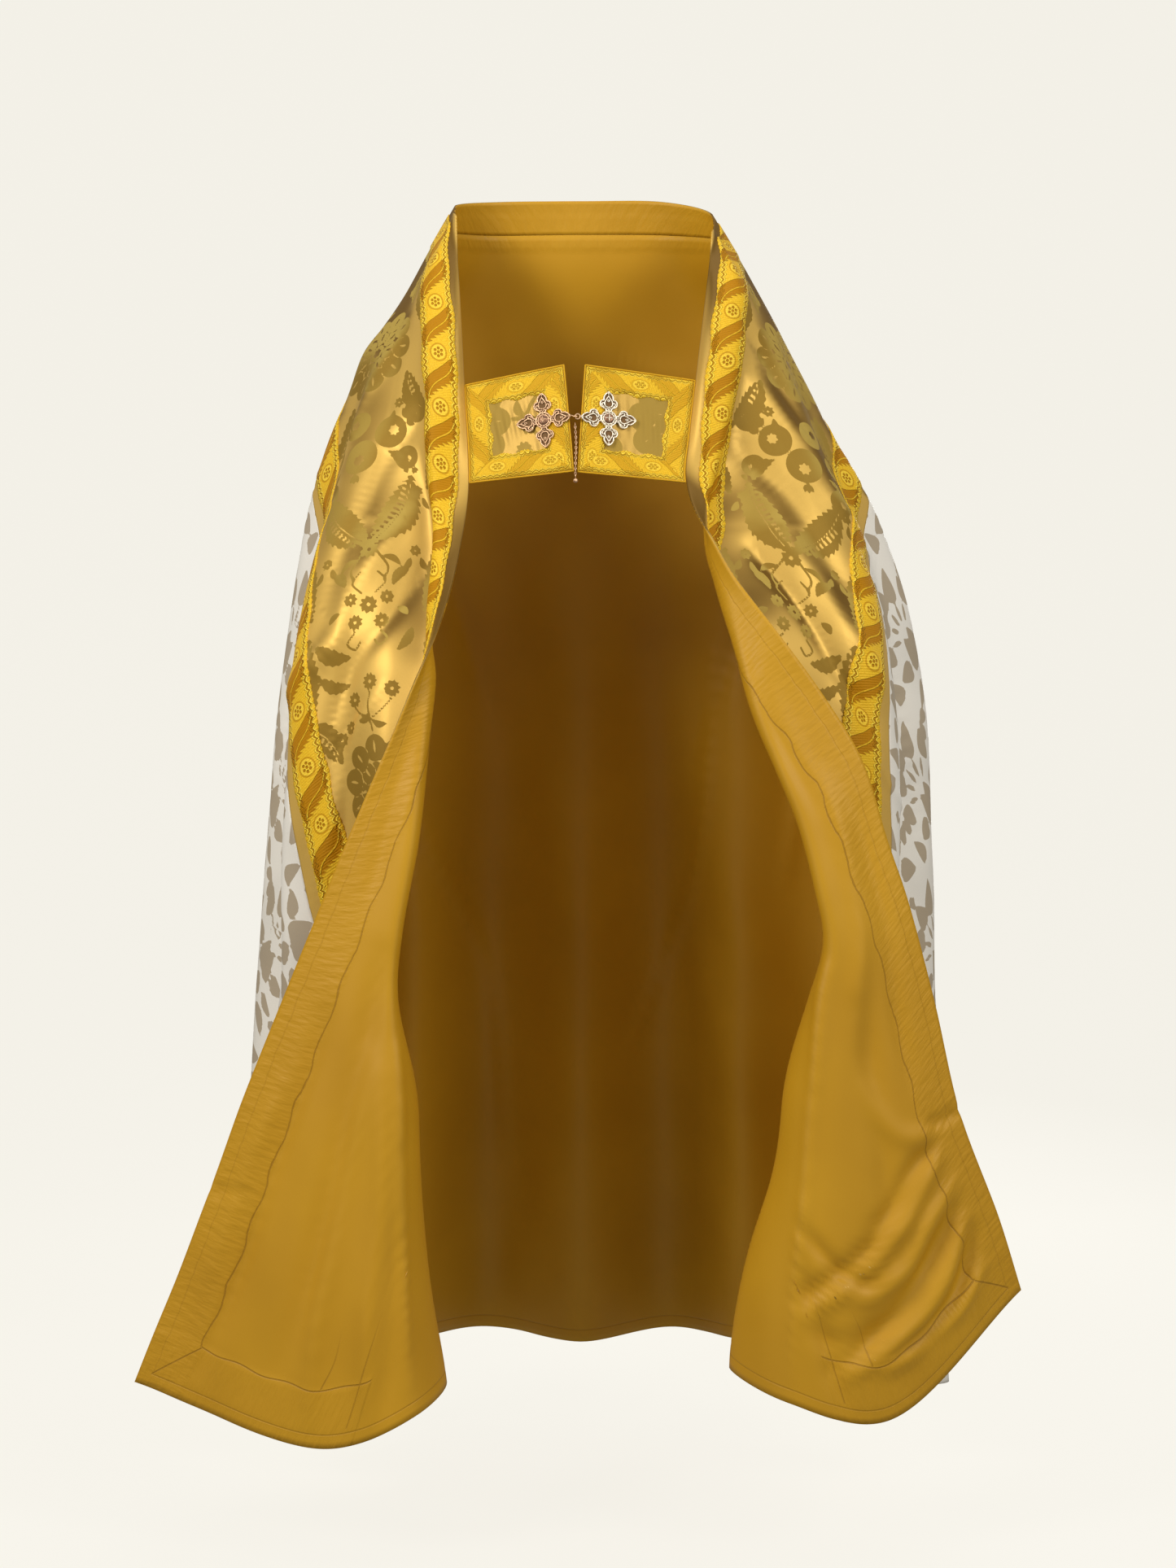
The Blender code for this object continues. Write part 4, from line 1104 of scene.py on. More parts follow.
GOLD_GROUND = linear_colour(212, 172, 86)
GOLD_FIGURE = linear_colour(146, 114, 42)
# painted shade and light: ground and figure colours of the gold damask where it faces up
GOLD_GROUND_PAINTED_SHADE = linear_colour(114, 84, 32)
GOLD_FIGURE_PAINTED_LIGHT = linear_colour(186, 158, 76)
GOLD_GLINT = linear_colour(255, 228, 172)
IVORY_SATIN = linear_colour(236, 230, 219)
IVORY_MATTE = linear_colour(176, 160, 136)
MUSTARD = linear_colour(201, 150, 28)
MUSTARD_DEEP = linear_colour(166, 116, 14)
BRAID_LIGHT = linear_colour(243, 201, 50)
BRAID_MID = linear_colour(210, 154, 24)
BRAID_AMBER = linear_colour(180, 122, 8)
BRAID_BORDER = linear_colour(254, 218, 74)


def damask(name, ground, figure, rough_ground, rough_figure, metal, flipped=None,
           glint=(1, 1, 1)):
    """Satin damask: a shiny ground or figure by the mesh's own figure number.

    flipped: colours of ground and figure where the cloth faces up, painted shade on the ground and
    painted light on the figure; glint: tint of its shine
    """
    look = Look(name, 0.5, metal, Anisotropic=0.35, Specular_IOR_Level=0.3,
                Specular_Tint=(*glint, 1.0))
    s, t = look.flat()
    edge = look.noise(s * 0.9, t * 0.9, 1.0)
    inside = (look.field("figure") + (edge - 0.5) * 0.9).step(-0.30, 0.30)
    # painted shade and light: where the cloth faces up, its ground is painted darker and its figure
    # lighter
    if flipped:
        up = look.field("painted_upward_shade")
        ground = look.mix(up, ground, flipped[0])
        figure = look.mix(up, figure, flipped[1])
    wide = look.place_noise(7.0, 2.0)
    threads = look.noise(s * 3.2, t * 0.35, 2.0) * 0.5 + look.noise(s * 0.3, t * 2.6, 2.0) * 0.5
    colour = look.mix(inside, ground, figure)
    dark = look.mix(0.5, colour, (0.0, 0.0, 0.0))
    shade = (threads - 0.5) * 0.6 + (wide - 0.5) * 1.0
    look.set("Base Color", look.mix((shade + 0.06).limited(), colour, dark))
    look.set("Roughness", inside * (rough_figure - rough_ground) + rough_ground)
    twill = ((s * 1.0 + t * 1.3) * 4.2).sine() * 0.12
    look.bump(inside * 0.25 + threads * 0.5 + twill * inside, 0.22, 0.0006)
    return look.material


def lining_look():
    """Plain satin lining with the stitching that holds the band and its braid behind it."""
    look = Look("mustard_lining", 0.5, 0.0, Specular_IOR_Level=0.3)
    s, t = look.flat()
    edge = look.field("edge") * 1000.0
    hem = look.field("hem") * 1000.0
    wave, hem_wave = ((place * (2 * math.pi / (BRAID_REPEAT * 1000))).sine() for place in (s, t))
    ripple = look.noise(s * 0.05, t * 0.05, 2.0)
    low = s.size().step(420.0, 520.0)
    on_band = edge.step(292.0, 288.0)
    at_hem = hem.step(150.0, 80.0) * 0.7
    lines = [
        (edge + (ripple - 0.5) * 6.0).line(19.0, 0.8) * hem.step(16.0, 20.0) * low * 0.3,
        (edge + wave * 2.2 + (ripple - 0.5) * 5.0).line(65.0, 0.9) * hem.step(70.0, 74.0) * low,
        (edge + wave * 1.8).line(228.0, 0.9) * hem.step(70.0, 74.0) * at_hem,
        edge.line(276.0, 0.9) * hem.step(20.0, 24.0) * at_hem,
        hem.line(17.0, 0.9) * edge.step(15.0, 18.0) * 0.5,
        (hem + hem_wave * 1.8).line(72.0, 0.9) * edge.step(62.0, 66.0) * on_band,
    ]
    mitre = ((edge - 17.0) * 1.14 - (hem - 17.0)).line(0.0, 1.3) * edge.step(16.0, 18.0) \
        * edge.step(66.0, 64.0) * hem.step(76.0, 72.0)
    stitch_dip_and_shade = largest([*lines, mitre])
    braid_behind = (edge.step(14.0, 24.0) * edge.step(68.0, 58.0)).most(
        hem.step(14.0, 24.0) * hem.step(76.0, 66.0) * on_band)
    pucker = look.noise(s * 0.16, t * 0.035, 2.0) * edge.step(72.0, 60.0) \
        + look.noise(s * 0.035, t * 0.16, 2.0) * hem.step(80.0, 66.0) * on_band
    grain = look.noise(s * 2.6, t * 0.4, 2.0) * 0.5 + look.noise(s * 0.4, t * 2.6, 2.0) * 0.5
    soft = look.place_noise(5.0, 3.0)
    colour = look.mix((soft - 0.35).limited(), MUSTARD, MUSTARD_DEEP)
    colour = look.mix(((grain - 0.45) * 0.5).most(0.0), colour, MUSTARD_DEEP)
    # painted shade: the stitch lines are sunk by the bump and also coloured darker, as the shade in
    # their dips
    look.set("Base Color", look.mix(stitch_dip_and_shade * 0.45, colour, linear_colour(120, 78, 14)))
    look.set("Roughness", grain * 0.12 + 0.46)
    look.bump(pucker * 1.3 + braid_behind * 0.35 - stitch_dip_and_shade * 0.8 + grain * 0.10, 0.45, 0.0022)
    return look.material


def braid_look(name, amber):
    """Woven braid: toothed amber leaves and flowers with seven eyes between scalloped borders."""
    look = Look(name, 0.45, 0.0, Specular_IOR_Level=0.22, Specular_Tint=(*GOLD_GLINT, 1.0))
    along, across = look.flat()
    repeat = BRAID_REPEAT * 1000
    place = (along * (1 / repeat) + 100.0).fraction() * repeat - repeat / 2
    c, s = direction(LEAF_LEAN)
    leaves, ribs = [], []
    for shift in (-repeat, 0.0, repeat):
        x = (place - shift) * c + across * s
        y = across * c - (place - shift) * s
        share = (x * (1 / LEAF_LONG)).most(-1.0).least(1.0)
        y = y + (share * math.pi).sine() * LEAF_BEND
        side = y.step(-0.5, 0.5)
        teeth = (share * 5.0 + 12.0).fraction() * side * 5.0
        leaves.append((share * share * -1.0 + 1.0).power(0.85) * LEAF_WIDE - teeth - y.size())
        ribs.append((y - 1.0).line(0.0, 0.9) * share.size().step(0.90, 0.78))
    inside = largest(leaves).step(-0.4, 0.4)
    ribs = largest(ribs)
    petals, eyes = [], []
    for shift in (-repeat / 2, repeat / 2):
        x = place - shift
        petals.append(length_of(x, across) * -1.0 + FLOWER)
        for k in range(7):
            turn = 2 * math.pi * k / 6
            ring = EYE_RING if k < 6 else 0.0
            away = length_of(x - ring * math.cos(turn), across - ring * math.sin(turn))
            eyes.append(away * -1.0 + FLOWER_EYE)
    petals = largest(petals)
    petal = petals.step(-0.4, 0.4)
    eye = largest(eyes).step(-0.4, 0.4)
    outline = petals.line(-1.2, 0.9)
    rim = across.size()
    loops = ((along * (math.pi / (SCALLOP * 1000))).sine().size() * 3.4 + rim)
    border = loops.line(22.9, 1.1).most(loops.line(18.6, 1.0))
    gap = loops.line(20.8, 0.9)
    cords = look.noise(along * 0.55, across * 0.55, 3.0)
    ribbing = (along * 2.1 + across * 0.7).sine() * 0.5 + 0.5
    bare = petal * -1.0 + 1.0
    amber_share = (inside * amber * bare * (ribs * -0.9 + 1.0)).most(eye * max(amber, 0.4))
    amber_share = amber_share.most(outline * 0.7 * amber).most(gap * 0.9 * max(amber, 0.5))
    light = look.mix(((cords - 0.28) * 1.6).limited(), BRAID_LIGHT, BRAID_MID)
    light = look.mix(ribbing * 0.22, light, BRAID_MID)
    light = look.mix(border * 0.9, light, BRAID_BORDER)
    light = look.mix((petal - eye).most(0.0) * 0.5, light, BRAID_BORDER)
    look.set("Base Color", look.mix(amber_share.least(1.0), light, BRAID_AMBER))
    look.set("Roughness", inside * 0.10 + 0.42)
    height = inside * bare * -0.6 + petal * 0.25 - eye * 0.6 + ribs * 0.5 + border * 0.6 \
        - gap * 0.4 + cords * 0.25 + ribbing * 0.12
    look.bump(height, 1.0, 0.0020)
    return look.material


def metal_look(name, light, dark):
    """Antique gilt with darker hollows."""
    look = Look(name, 0.35, 0.55)
    worn_away = look.place_noise(420.0, 2.0)
    look.set("Base Color", look.mix(worn_away.step(0.52, 0.74), light, dark))
    look.set("Roughness", worn_away * 0.25 + 0.26)
    look.bump(look.place_noise(900.0, 2.0), 0.25, 0.0003)
    return look.material


def plain_look(name, light, dark, rough, grain):
    """Dull surface with a slight grain."""
    look = Look(name, rough, 0.0)
    look.set("Base Color", look.mix(look.place_noise(grain, 3.0), light, dark))
    return look.material


# Clasp tab, as in the part
MORSE_EDGE = {-1: (0.4235, 0.536), 1: (0.420, 0.553)}
MORSE_INNER = {
    -1: ((693, 449, -0.166), (705, 579, -0.190)),
    1: ((719, 449, -0.166), (710, 580, -0.190)),
}
MORSE_HALF = 0.00125
CROSS_PLACE = {-1: (0.762, 0.497, 0.0), 1: (0.757, 0.482, 4.7)}
CROSS_BASE = MORSE_HALF + 0.0016
CROSS_THICK = 0.0024
PIPING = 0.0011
FRAME_IN = 0.0016           # braid frame set in from the tab's edge
FRAME_WIDE = 0.029


def morse_patch(side):
    """Middle surface of one half of the tab, as a function of across and down."""
    start, stop = MORSE_EDGE[side]
    upper, lower = (np.array(sight(row)) for row in MORSE_INNER[side])

    def patch(across, down):
        across, down = np.broadcast_arrays(np.asarray(across, float), np.asarray(down, float))
        edge, _ = worn(side * (start + (stop - start) * down), 0.0)
        far = upper + (lower - upper) * down[..., None]
        ahead = far - edge
        ahead /= np.linalg.norm(ahead, axis=-1)[..., None]
        near = edge + ahead * 0.0019
        bow = 0.004 * np.sin(math.pi * across) * np.sin(math.pi * (0.15 + 0.7 * down))
        found = near + (far - near) * across[..., None]
        found[..., 1] -= bow
        return found

    return patch


def patch_frame(patch, across, down):
    """Point, direction across, direction up and front direction of a patch."""
    step = 0.02
    ahead = patch(np.minimum(across + step, 1), down) - patch(np.maximum(across - step, 0), down)
    up = patch(across, np.maximum(down - step, 0)) - patch(across, np.minimum(down + step, 1))
    front = np.cross(ahead, up)
    front *= np.where(front[..., 1] > 0, -1, 1)[..., None]
    front /= np.linalg.norm(front, axis=-1)[..., None]
    up = up - front * (up * front).sum(axis=-1)[..., None]
    up /= np.linalg.norm(up, axis=-1)[..., None]
    return patch(across, down), np.cross(up, front), up, front


def sizes(patch):
    """Width and height of a patch."""
    return (np.linalg.norm(patch(1.0, 0.5) - patch(0.0, 0.5)),
            np.linalg.norm(patch(0.5, 1.0) - patch(0.5, 0.0)))


def make_tab(side):
    """One half of the clasp tab: padded damask plate, mitred braid frame and piped border."""
    patch = morse_patch(side)
    wide, tall = sizes(patch)
    across, down = np.meshgrid(np.linspace(0, 1, TAB_NET[1]), np.linspace(0, 1, TAB_NET[0]))
    points, _, _, front = patch_frame(patch, across, down)
    rim = np.minimum(np.minimum(across, 1 - across) * wide, np.minimum(down, 1 - down) * tall)
    thick = MORSE_HALF * np.clip(rim / 0.0012, 0.25, 1) ** 0.5
    crumple = 0.0006 * np.sin(70 * across + 9 * down * side) * np.sin(7 * down + 3 * across)
    lift = thick + crumple * ease(rim, 0.02, 0.035)
    s = 0.9 * side + across * wide * 0.9
    t = 0.10 + down * tall * 0.9
    # the tab's plate gets a fixed share of the damask's painted shade on the ground and painted light
    # on the figure
    fields = {"figure": band_figure(s - side * 0.55, t) + 1.0, "painted_upward_shade": np.full(s.shape, 0.36)}
    plate = panel("tab_" + WORDS[side], points, front, lift, -MORSE_HALF,
                  np.stack([s, t], -1), fields)
    behind = add_mesh("tab_back_" + WORDS[side],
                      (points - front * MORSE_HALF).reshape(-1, 3),
                      grid_faces(*points.shape[:2]), np.stack([s, t], -1).reshape(-1, 2),
                      {"figure": np.full(s.shape, -6.0), "painted_upward_shade": np.full(s.shape, 0.2)})
    strips = []
    corners = [(0, 0), (1, 0), (1, 1), (0, 1)]
    for k in range(4):
        (x0, y0), (x1, y1) = corners[k], corners[(k + 1) % 4]
        long = wide if k % 2 == 0 else tall
        depth = np.linspace(0, 1, TAB_BRAID_NET[1])[None]
        run = np.linspace(0, 1, TAB_BRAID_NET[0])[:, None]
        loops = 0.0012 * np.abs(np.sin(math.pi * run * long / SCALLOP))
        waves = 0.0018 * np.sin(2 * math.pi * run * long / 0.055 + k)
        far = FRAME_IN + depth * FRAME_WIDE
        inset = far + (loops + waves) * (depth > 0.95) * np.sin(math.pi * run) ** 0.5
        along = far + (long - 2 * far) * run
        share = along / long
        x = x0 + (x1 - x0) * share + (y0 - y1) * inset / wide
        y = y0 + (y1 - y0) * share + (x1 - x0) * inset / tall
        spots, _, _, face = patch_frame(patch, np.clip(x, 0, 1), np.clip(y, 0, 1))
        puff = MORSE_HALF + 0.0003 + 0.0010 * np.clip(4 * depth * (1.02 - depth), 0, 1) ** 0.5
        spots = spots + face * np.broadcast_to(puff, spots.shape[:2])[..., None]
        uv = np.stack([along + 0.02 * k, np.broadcast_to((depth - 0.5) * 0.046, along.shape)], -1)
        strips.append(panel(f"tab_braid_{WORDS[side]}_{k}", spots, face, 0.0, -0.0012, uv,
                            {"painted_upward_shade": np.zeros(along.shape)}, flip=True))
    border = []
    for k in range(4):
        (x0, y0), (x1, y1) = corners[k], corners[(k + 1) % 4]
        for share in np.linspace(0, 1, 40)[:-1]:
            border.append((x0 + (x1 - x0) * share, y0 + (y1 - y0) * share))
    border = np.array(border)
    spots, _, _, face = patch_frame(patch, border[:, 0], border[:, 1])
    piping = add_mesh("tab_piping_" + WORDS[side],
                      *tube_parts(spots + face * MORSE_HALF * 0.7, PIPING, 6, True))
    return plate, behind, strips, piping


def tube_parts(path, radius, sides, closed, across=None, tall=1.0):
    """Points and faces of a round rod along a path. tall stretches it along the direction across."""
    path = np.asarray(path, float)
    count = len(path)
    if closed:
        ahead = np.roll(path, -1, axis=0) - np.roll(path, 1, axis=0)
    else:
        ahead = np.gradient(path, axis=0)
    ahead /= np.linalg.norm(ahead, axis=1)[:, None]
    across = np.array([0.0, -1.0, 0.0]) if across is None else np.asarray(across, float)
    first = across - ahead * (ahead @ across)[:, None]
    first /= np.linalg.norm(first, axis=1)[:, None]
    second = np.cross(ahead, first)
    turns = 2 * math.pi * np.arange(sides) / sides
    points = (path[:, None] + radius * (first[:, None] * np.cos(turns)[None, :, None] * tall
                                        + second[:, None] * np.sin(turns)[None, :, None]))
    faces = []
    for k in range(count if closed else count - 1):
        here, there = k * sides, (k + 1) % count * sides
        for n in range(sides):
            m = (n + 1) % sides
            faces.append((here + n, here + m, there + m, there + n))
    if not closed:
        faces.append(tuple(range(sides))[::-1])
        faces.append(tuple((count - 1) * sides + n for n in range(sides)))
    return points.reshape(-1, 3), faces


def oval(x, y, wide, tall, count):
    """Points round an oval."""
    return [(x + wide * math.cos(a), y + tall * math.sin(a))
            for a in np.linspace(0, 2 * math.pi, count + 1)[:-1]]


def joined(name, parts):
    """One object from several lists of points and faces."""
    points, faces = [], []
    for spots, quads in parts:
        shift = sum(len(p) for p in points)
        points.append(spots)
        faces += [tuple(n + shift for n in face) for face in quads]
    return add_mesh(name, np.vstack(points), faces)


# Openwork of one arm of a cross in millimetres: out from the middle, across
HEART = [(14.0, 0.0), (15.2, 3.4), (18.6, 4.9), (22.0, 4.0), (25.6, 1.8), (28.6, 0.0)]
LOBE = [(9.0, 3.0), (12.2, 3.8), (13.6, 6.6), (15.2, 9.4), (18.8, 10.4), (22.2, 8.8),
        (23.2, 5.9), (26.8, 5.6), (30.4, 3.6), (33.6, 0.0)]
CURL = [(14.6, 5.4), (16.6, 8.0), (19.4, 7.6), (19.6, 5.8), (17.8, 5.6)]
CROSS_WIRE = 0.00098
CROSS_FINE = 0.0005
BACKING = -0.0009           # height of the dark backing in the openwork: the plate behind the wires, its dark colour partly painted shade of the hollows
# Distance out and height in metres: rings of the cut stone, and one arm of the cross on it
STONE_RINGS = [(0.0058, 0.0012), (0.0058, 0.0020), (0.0042, 0.0033), (0.0020, 0.0038)]
STONE_TOP = 0.0039
STONE_ARM = [(0.0002, 0.0041), (0.0024, 0.0038), (0.0044, 0.0031)]


def make_cross(side):
    """Openwork cross: wire lobes, hearts and curls round a set stone."""
    across, down, turn = CROSS_PLACE[side]
    middle, ahead, up, front = patch_frame(morse_patch(side), across, down)
    base = CROSS_BASE + CROSS_THICK / 2

    def spot(x, y, height=0.0):
        return middle + ahead * x + up * y + front * (base + height)

    def wire(points, closed, radius=CROSS_WIRE, height=0.0):
        return tube_parts([spot(x, y, height) for x, y in points], radius, 6, closed, front, 1.25)

    parts = []
    for k in range(4):
        c, s = direction(turn + 90 * k)

        def arm(points, mirror, c=c, s=s):
            made = [(x / 1000, y / 1000 * mirror) for x, y in points]
            return [(x * c - y * s, x * s + y * c) for x, y in made]

        for mirror in (-1, 1):
            for shape, radius in ((HEART, 0.8), (LOBE, 1.0), (CURL, 0.65)):
                line = smooth([(*point, 0.0) for point in shape], 5)[:, :2]
                parts.append(wire(arm(line, mirror), False, CROSS_WIRE * radius))
            parts.append(wire(arm(oval(11.4, 1.9, 1.5, 1.3, 10), mirror), True, CROSS_FINE))
        parts.append(wire(arm(oval(22.5, 0.0, 1.5, 1.1, 10), 1), True, CROSS_FINE))
        parts.append(wire(arm([(29.0, 0.0), (33.4, 0.0)], 1), False, 0.0007))
    for ring, radius in ((0.0092, 0.0010), (0.0066, 0.0009)):
        parts.append(wire(oval(0.0, 0.0, ring, ring, 36), True, radius, 0.0004))
    for x, y in oval(0.0, 0.0, 0.0079, 0.0079, 12):
        parts.append(ball(spot(x, y, 0.0009), 0.0008))
    cross = joined("cross_" + WORDS[side] + "_openwork", parts)
    outline = []
    half = smooth([(*point, 0.0) for point in LOBE], 5)[:, :2] * 0.97
    for k in range(4):
        c, s = direction(turn + 90 * k)
        for x, y in [*(half * (1, -1)), *half[-2::-1]]:
            outline.append(spot((x * c - y * s) / 1000, (x * s + y * c) / 1000, BACKING))
    backing = add_mesh("cross_" + WORDS[side] + "_backing", outline,
                       [tuple(range(len(outline)))], smooth_faces=False)
    stone, setting = make_stone(side, spot, turn)
    return cross, backing, stone, setting


def ball(place, radius, around=8, rings=5):
    """Points and faces of a small bead."""
    points = [place + np.array([0, 0, radius])]
    for k in range(1, rings):
        lean = math.pi * k / rings
        for n in range(around):
            a = 2 * math.pi * n / around
            points.append(place + radius * np.array([math.sin(lean) * math.cos(a),
                                                     math.sin(lean) * math.sin(a),
                                                     math.cos(lean)]))
    points.append(place - np.array([0, 0, radius]))
    faces = [(0, 1 + n, 1 + (n + 1) % around) for n in range(around)]
    for k in range(rings - 2):
        a, b = 1 + k * around, 1 + (k + 1) * around
        faces += [(a + n, b + n, b + (n + 1) % around, a + (n + 1) % around)
                  for n in range(around)]
    last = len(points) - 1
    a = 1 + (rings - 2) * around
    faces += [(last, a + (n + 1) % around, a + n) for n in range(around)]
    return np.array(points), faces


def make_stone(side, spot, turn):
    """Faceted stone with a small cross laid on it."""
    around = 16
    points, faces = [], []
    for radius, height in STONE_RINGS:
        for n in range(around):
            a = 2 * math.pi * (n + 0.5) / around
            points.append(spot(radius * math.cos(a), radius * math.sin(a), height))
    points.append(spot(0, 0, STONE_TOP))
    for k in range(len(STONE_RINGS) - 1):
        for n in range(around):
            m = (n + 1) % around
            faces.append((k * around + n, k * around + m, (k + 1) * around + m,
                          (k + 1) * around + n))
    top = (len(STONE_RINGS) - 1) * around
    faces += [(top + n, top + (n + 1) % around, len(points) - 1) for n in range(around)]
    faces.append(tuple(range(around))[::-1])
    stone = add_mesh("stone_" + WORDS[side] + "_cut", points, faces, smooth_faces=False)
    arms = []
    for k in range(4):
        c, s = direction(turn + 90 * k)
        arms.append(tube_parts([spot(r * c, r * s, h) for r, h in STONE_ARM], 0.00065, 6, False))
    return stone, joined("stone_cross_" + WORDS[side], arms)


CHAIN_TOP = (706.5, 520)       # where the chain hangs from the hook, in the view
CHAIN_FOOT = (708.0, 588)
LINK = 0.0032                  # pitch of the links
LINK_WIRE = 0.00042


def make_chain():
    """Short safety chain that hangs from the hook down the gap of the tab, with a bead."""
    upper, lower = (np.array(sight(row)) for row in MORSE_INNER[-1])
    parts = []
    front = 0.0048

    def place(across, down):
        share = (down - MORSE_INNER[-1][0][1]) / (MORSE_INNER[-1][1][1] - MORSE_INNER[-1][0][1])
        depth = upper[1] + (lower[1] - upper[1]) * min(share, 1.0) - front
        return np.array(sight((across, down, depth)))

    (x0, y0), (x1, y1) = CHAIN_TOP, CHAIN_FOOT
    line = np.array([place(x0 + (x1 - x0) * k / 60 + 0.8 * math.sin(k / 60 * 5),
                           y0 + (y1 - y0) * k / 60) for k in range(61)])
    along = lengths(line)
    count = int(along[-1] / LINK)
    for k in range(count):
        middle = np.array([np.interp((k + 0.5) * LINK, along, line[:, n]) for n in range(3)])
        after = np.array([np.interp((k + 1.0) * LINK, along, line[:, n]) for n in range(3)])
        ahead = (after - middle) / np.linalg.norm(after - middle)
        side = np.array([1.0, 0.0, 0.0]) if k % 2 else np.array([0.0, 1.0, 0.0])
        side = side - ahead * side.dot(ahead)
        side /= np.linalg.norm(side)
        loop = [middle + ahead * 0.0021 * math.cos(a) + side * 0.00105 * math.sin(a)
                for a in np.linspace(0, 2 * math.pi, 13)[:-1]]
        parts.append(tube_parts(loop, LINK_WIRE, 5, True, np.cross(ahead, side)))
    parts.append(ball(line[-1] - np.array([0, 0, 0.0026]), 0.0028, 12, 8))
    return joined("safety_chain", parts)


FLOOR = -1.60
PAPER = linear_colour(243, 240, 231)
PAPER_GLOW = 0.97


def make_stage():
    """Pale floor that curves up into a backdrop."""
    profile = [(-6.0, 0.0), (2.2, 0.0)]
    profile += [(2.2 + 2.0 * math.sin(a), 2.0 - 2.0 * math.cos(a))
                for a in np.linspace(0, math.pi / 2, 16)[1:]]
    profile += [(4.2, 7.0)]
    points = [(x, y, FLOOR + z) for x in (-9.0, 9.0) for y, z in profile]
    count = len(profile)
    faces = [(k, k + count, k + count + 1, k + 1) for k in range(count - 1)]
    sweep = add_mesh("stage_sweep", points, faces)
    look = Look("pale_paper", 0.95)
    look.set("Base Color", look.mix(look.place_noise(0.8, 2.0), (0.05, 0.05, 0.048),
                                    (0.03, 0.03, 0.028)))
    look.set("Emission Color", (*PAPER, 1.0))
    look.set("Emission Strength", PAPER_GLOW)
    sweep.data.materials.append(look.material)
    sweep.visible_diffuse = False
    sweep.visible_glossy = False


# Lights: place, aim, size, watts, colour
LIGHTS = [
    ("key", (-2.0, -2.3, 0.95), (-0.1, 0.0, -0.5), 1.2, 70.0, (1.0, 0.98, 0.95)),
    ("fill", (2.2, -2.3, 0.95), (0.1, 0.0, -0.4), 1.3, 53.0, (1.0, 0.99, 0.97)),
    ("top", (0.0, -0.2, 1.9), (0.0, 0.1, 0.0), 1.6, 14.0, (1.0, 1.0, 1.0)),
    ("back", (0.7, 2.9, -0.2), (0.0, 0.2, -0.6), 1.6, 30.0, (1.0, 1.0, 1.0)),
]


def make_light_and_camera():
    """Soft studio light and the level camera of the view."""
    for name, place, aim, size, watts, colour in LIGHTS:
        lamp = bpy.data.lights.new(name, "AREA")
        lamp.shape = "SQUARE"
        lamp.size = size
        lamp.energy = watts
        lamp.color = colour
        made = bpy.data.objects.new(name, lamp)
        made.location = place
        made.rotation_euler = (Vector(aim) - Vector(place)).to_track_quat("-Z", "Y").to_euler()
        made.visible_camera = False
        bpy.context.collection.objects.link(made)
    world = bpy.data.worlds.new("studio")
    world.use_nodes = True
    world.node_tree.nodes["Background"].inputs[0].default_value = (*PAPER, 1.0)
    world.node_tree.nodes["Background"].inputs[1].default_value = 0.35
    bpy.context.scene.world = world
    bpy.context.scene.view_settings.view_transform = "Standard"
    camera = bpy.data.cameras.new("view")
    camera.sensor_width = 36.0
    camera.lens = camera.sensor_width / (2 * MIDDLE[1] * STEP)
    made = bpy.data.objects.new("view", camera)
    made.location = EYE
    made.rotation_euler = (math.pi / 2, 0.0, 0.0)
    bpy.context.collection.objects.link(made)
    bpy.context.scene.camera = made


def cut_area(keep):
    """Area of the flat cut where keep(s, t, drop) is true."""
    step = 0.004
    s, t = np.meshgrid(np.arange(-REACH, REACH, step) + step / 2,
                       np.arange(0, REACH, step) + step / 2)
    inside = s * s + t * t < REACH ** 2
    drop = flat_polar(s, t)[2]
    return float((inside & keep(s, t, drop)).sum() * step * step)


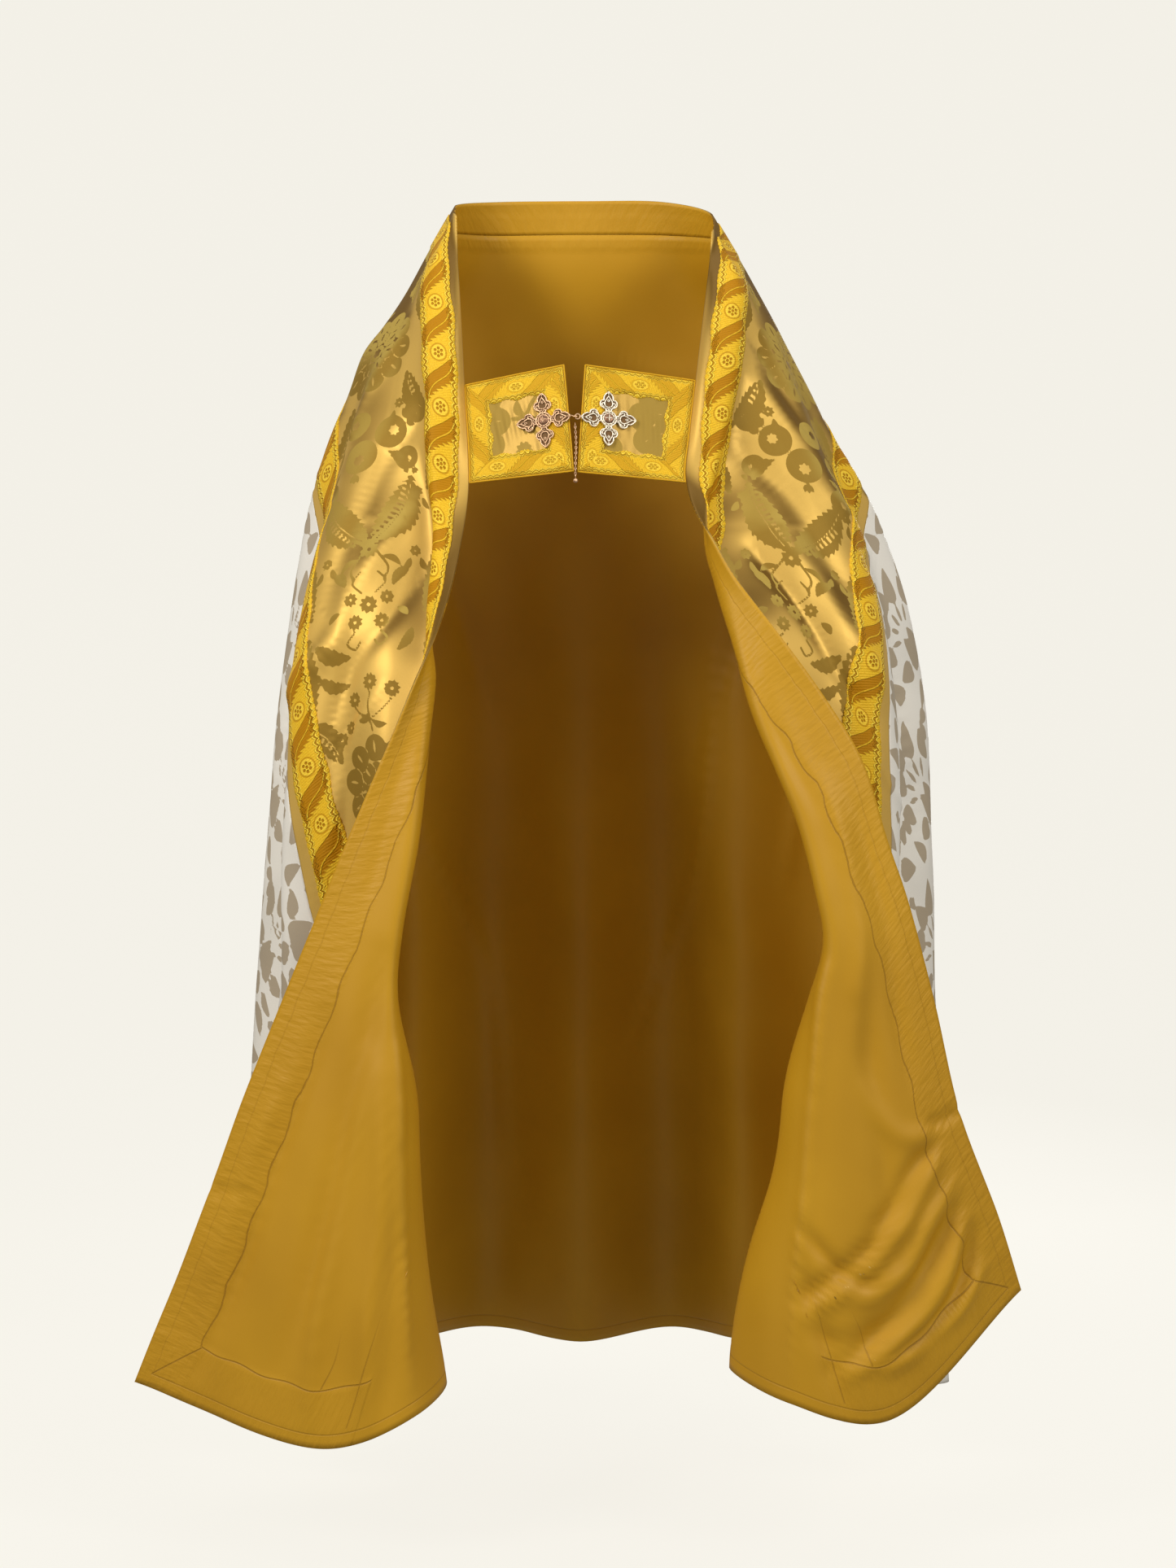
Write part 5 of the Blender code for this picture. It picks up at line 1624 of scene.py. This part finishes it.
def main():
    """Make every piece, attach it to the root and hide the parts of the frame that it covers."""
    damask_gold = damask("gold_damask", GOLD_GROUND, GOLD_FIGURE, 0.43, 0.58, 0.26,
                         (GOLD_GROUND_PAINTED_SHADE, GOLD_FIGURE_PAINTED_LIGHT), GOLD_GLINT)
    damask_ivory = damask("ivory_damask", IVORY_SATIN, IVORY_MATTE, 0.42, 0.55, 0.0)
    lining = lining_look()
    braid = braid_look("gold_braid", 1.0)
    braid_pale = braid_look("gold_braid_pale", 0.45)
    gilt = metal_look("gilt_metal", linear_colour(250, 240, 218), linear_colour(160, 124, 84))
    gilt_rose = metal_look("gilt_metal_rose", linear_colour(226, 186, 146),
                           linear_colour(130, 90, 60))
    shadow_look = plain_look("dark_backing_and_shade", linear_colour(132, 96, 52), linear_colour(96, 66, 34),
                             0.8, 300.0)
    stone_look = metal_look("dark_stone", linear_colour(150, 110, 84), linear_colour(70, 46, 34))

    body = make_body()
    below_seam = COLLAR_SEAM + (1 - COLLAR_SEAM) * np.linspace(0, 1, LINING_NET[0])
    in_collar = COLLAR_SEAM * np.linspace(0.0004, 0.995, COLLAR_ROWS)
    linings = [make_lining("lining_cloak", below_seam), make_lining("lining_of_collar", in_collar)]
    bands = {side: make_band(side) for side in (-1, 1)}
    braids = {side: make_braids(side) for side in (-1, 1)}

    def finish(piece, look, slot, *nodes):
        piece.data.materials.append(look)
        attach(piece, "root")
        if nodes:
            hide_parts(*nodes)

    finish(body, damask_ivory, "ivory_damask", "body_panel")
    finish(linings[0], lining, "mustard_lining", "lining_main")
    finish(linings[1], lining, "mustard_lining", "lining_collar")
    on_band = {}
    for side, word in WORDS.items():
        finish(bands[side], damask_gold, "gold_damask", "orphrey_" + word)
        for piece, key in zip(braids[side], ("front", "outer", "hem")):
            finish(piece, braid, "gold_braid", f"galloon_{key}_{word}")
        plate, behind, strips, piping = make_tab(side)
        finish(plate, damask_gold, "gold_damask", "morse_panel_" + word)
        finish(behind, lining, "mustard_lining")
        for k, strip in enumerate(strips):
            finish(strip, braid_pale, "gold_braid", *(["morse_braid_" + word] if k == 0 else []))
        finish(piping, braid_pale, "gold_braid")
        cross, backing, stone, setting = make_cross(side)
        metal = gilt_rose if side < 0 else gilt
        finish(cross, metal, "gilt_metal", "cross_" + word)
        finish(backing, shadow_look, "dark_stone")
        finish(stone, stone_look, "dark_stone", "stone_" + word)
        finish(setting, metal, "gilt_metal")
        on_band[side] = [*braids[side], plate, behind, *strips, piping, cross, backing, stone,
                         setting]
    chain = make_chain()
    finish(chain, gilt_rose, "gilt_metal")
    for node in ("clasp_hook", "clasp_eye"):
        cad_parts[node].material_slots[0].material = gilt_rose

    cut_area(lambda s, t, drop: t > BAND)
    cut_area(lambda s, t, drop: drop > COLLAR_SEAM)
    cut_area(lambda s, t, drop: drop < COLLAR_SEAM)
    for side in (-1, 1):
        with_pieces = on_band[side] + ([chain] if side < 0 else [])
        cut_area(lambda s, t, drop: (t < BAND) & (s > 0))
    make_stage()
    make_light_and_camera()


main()
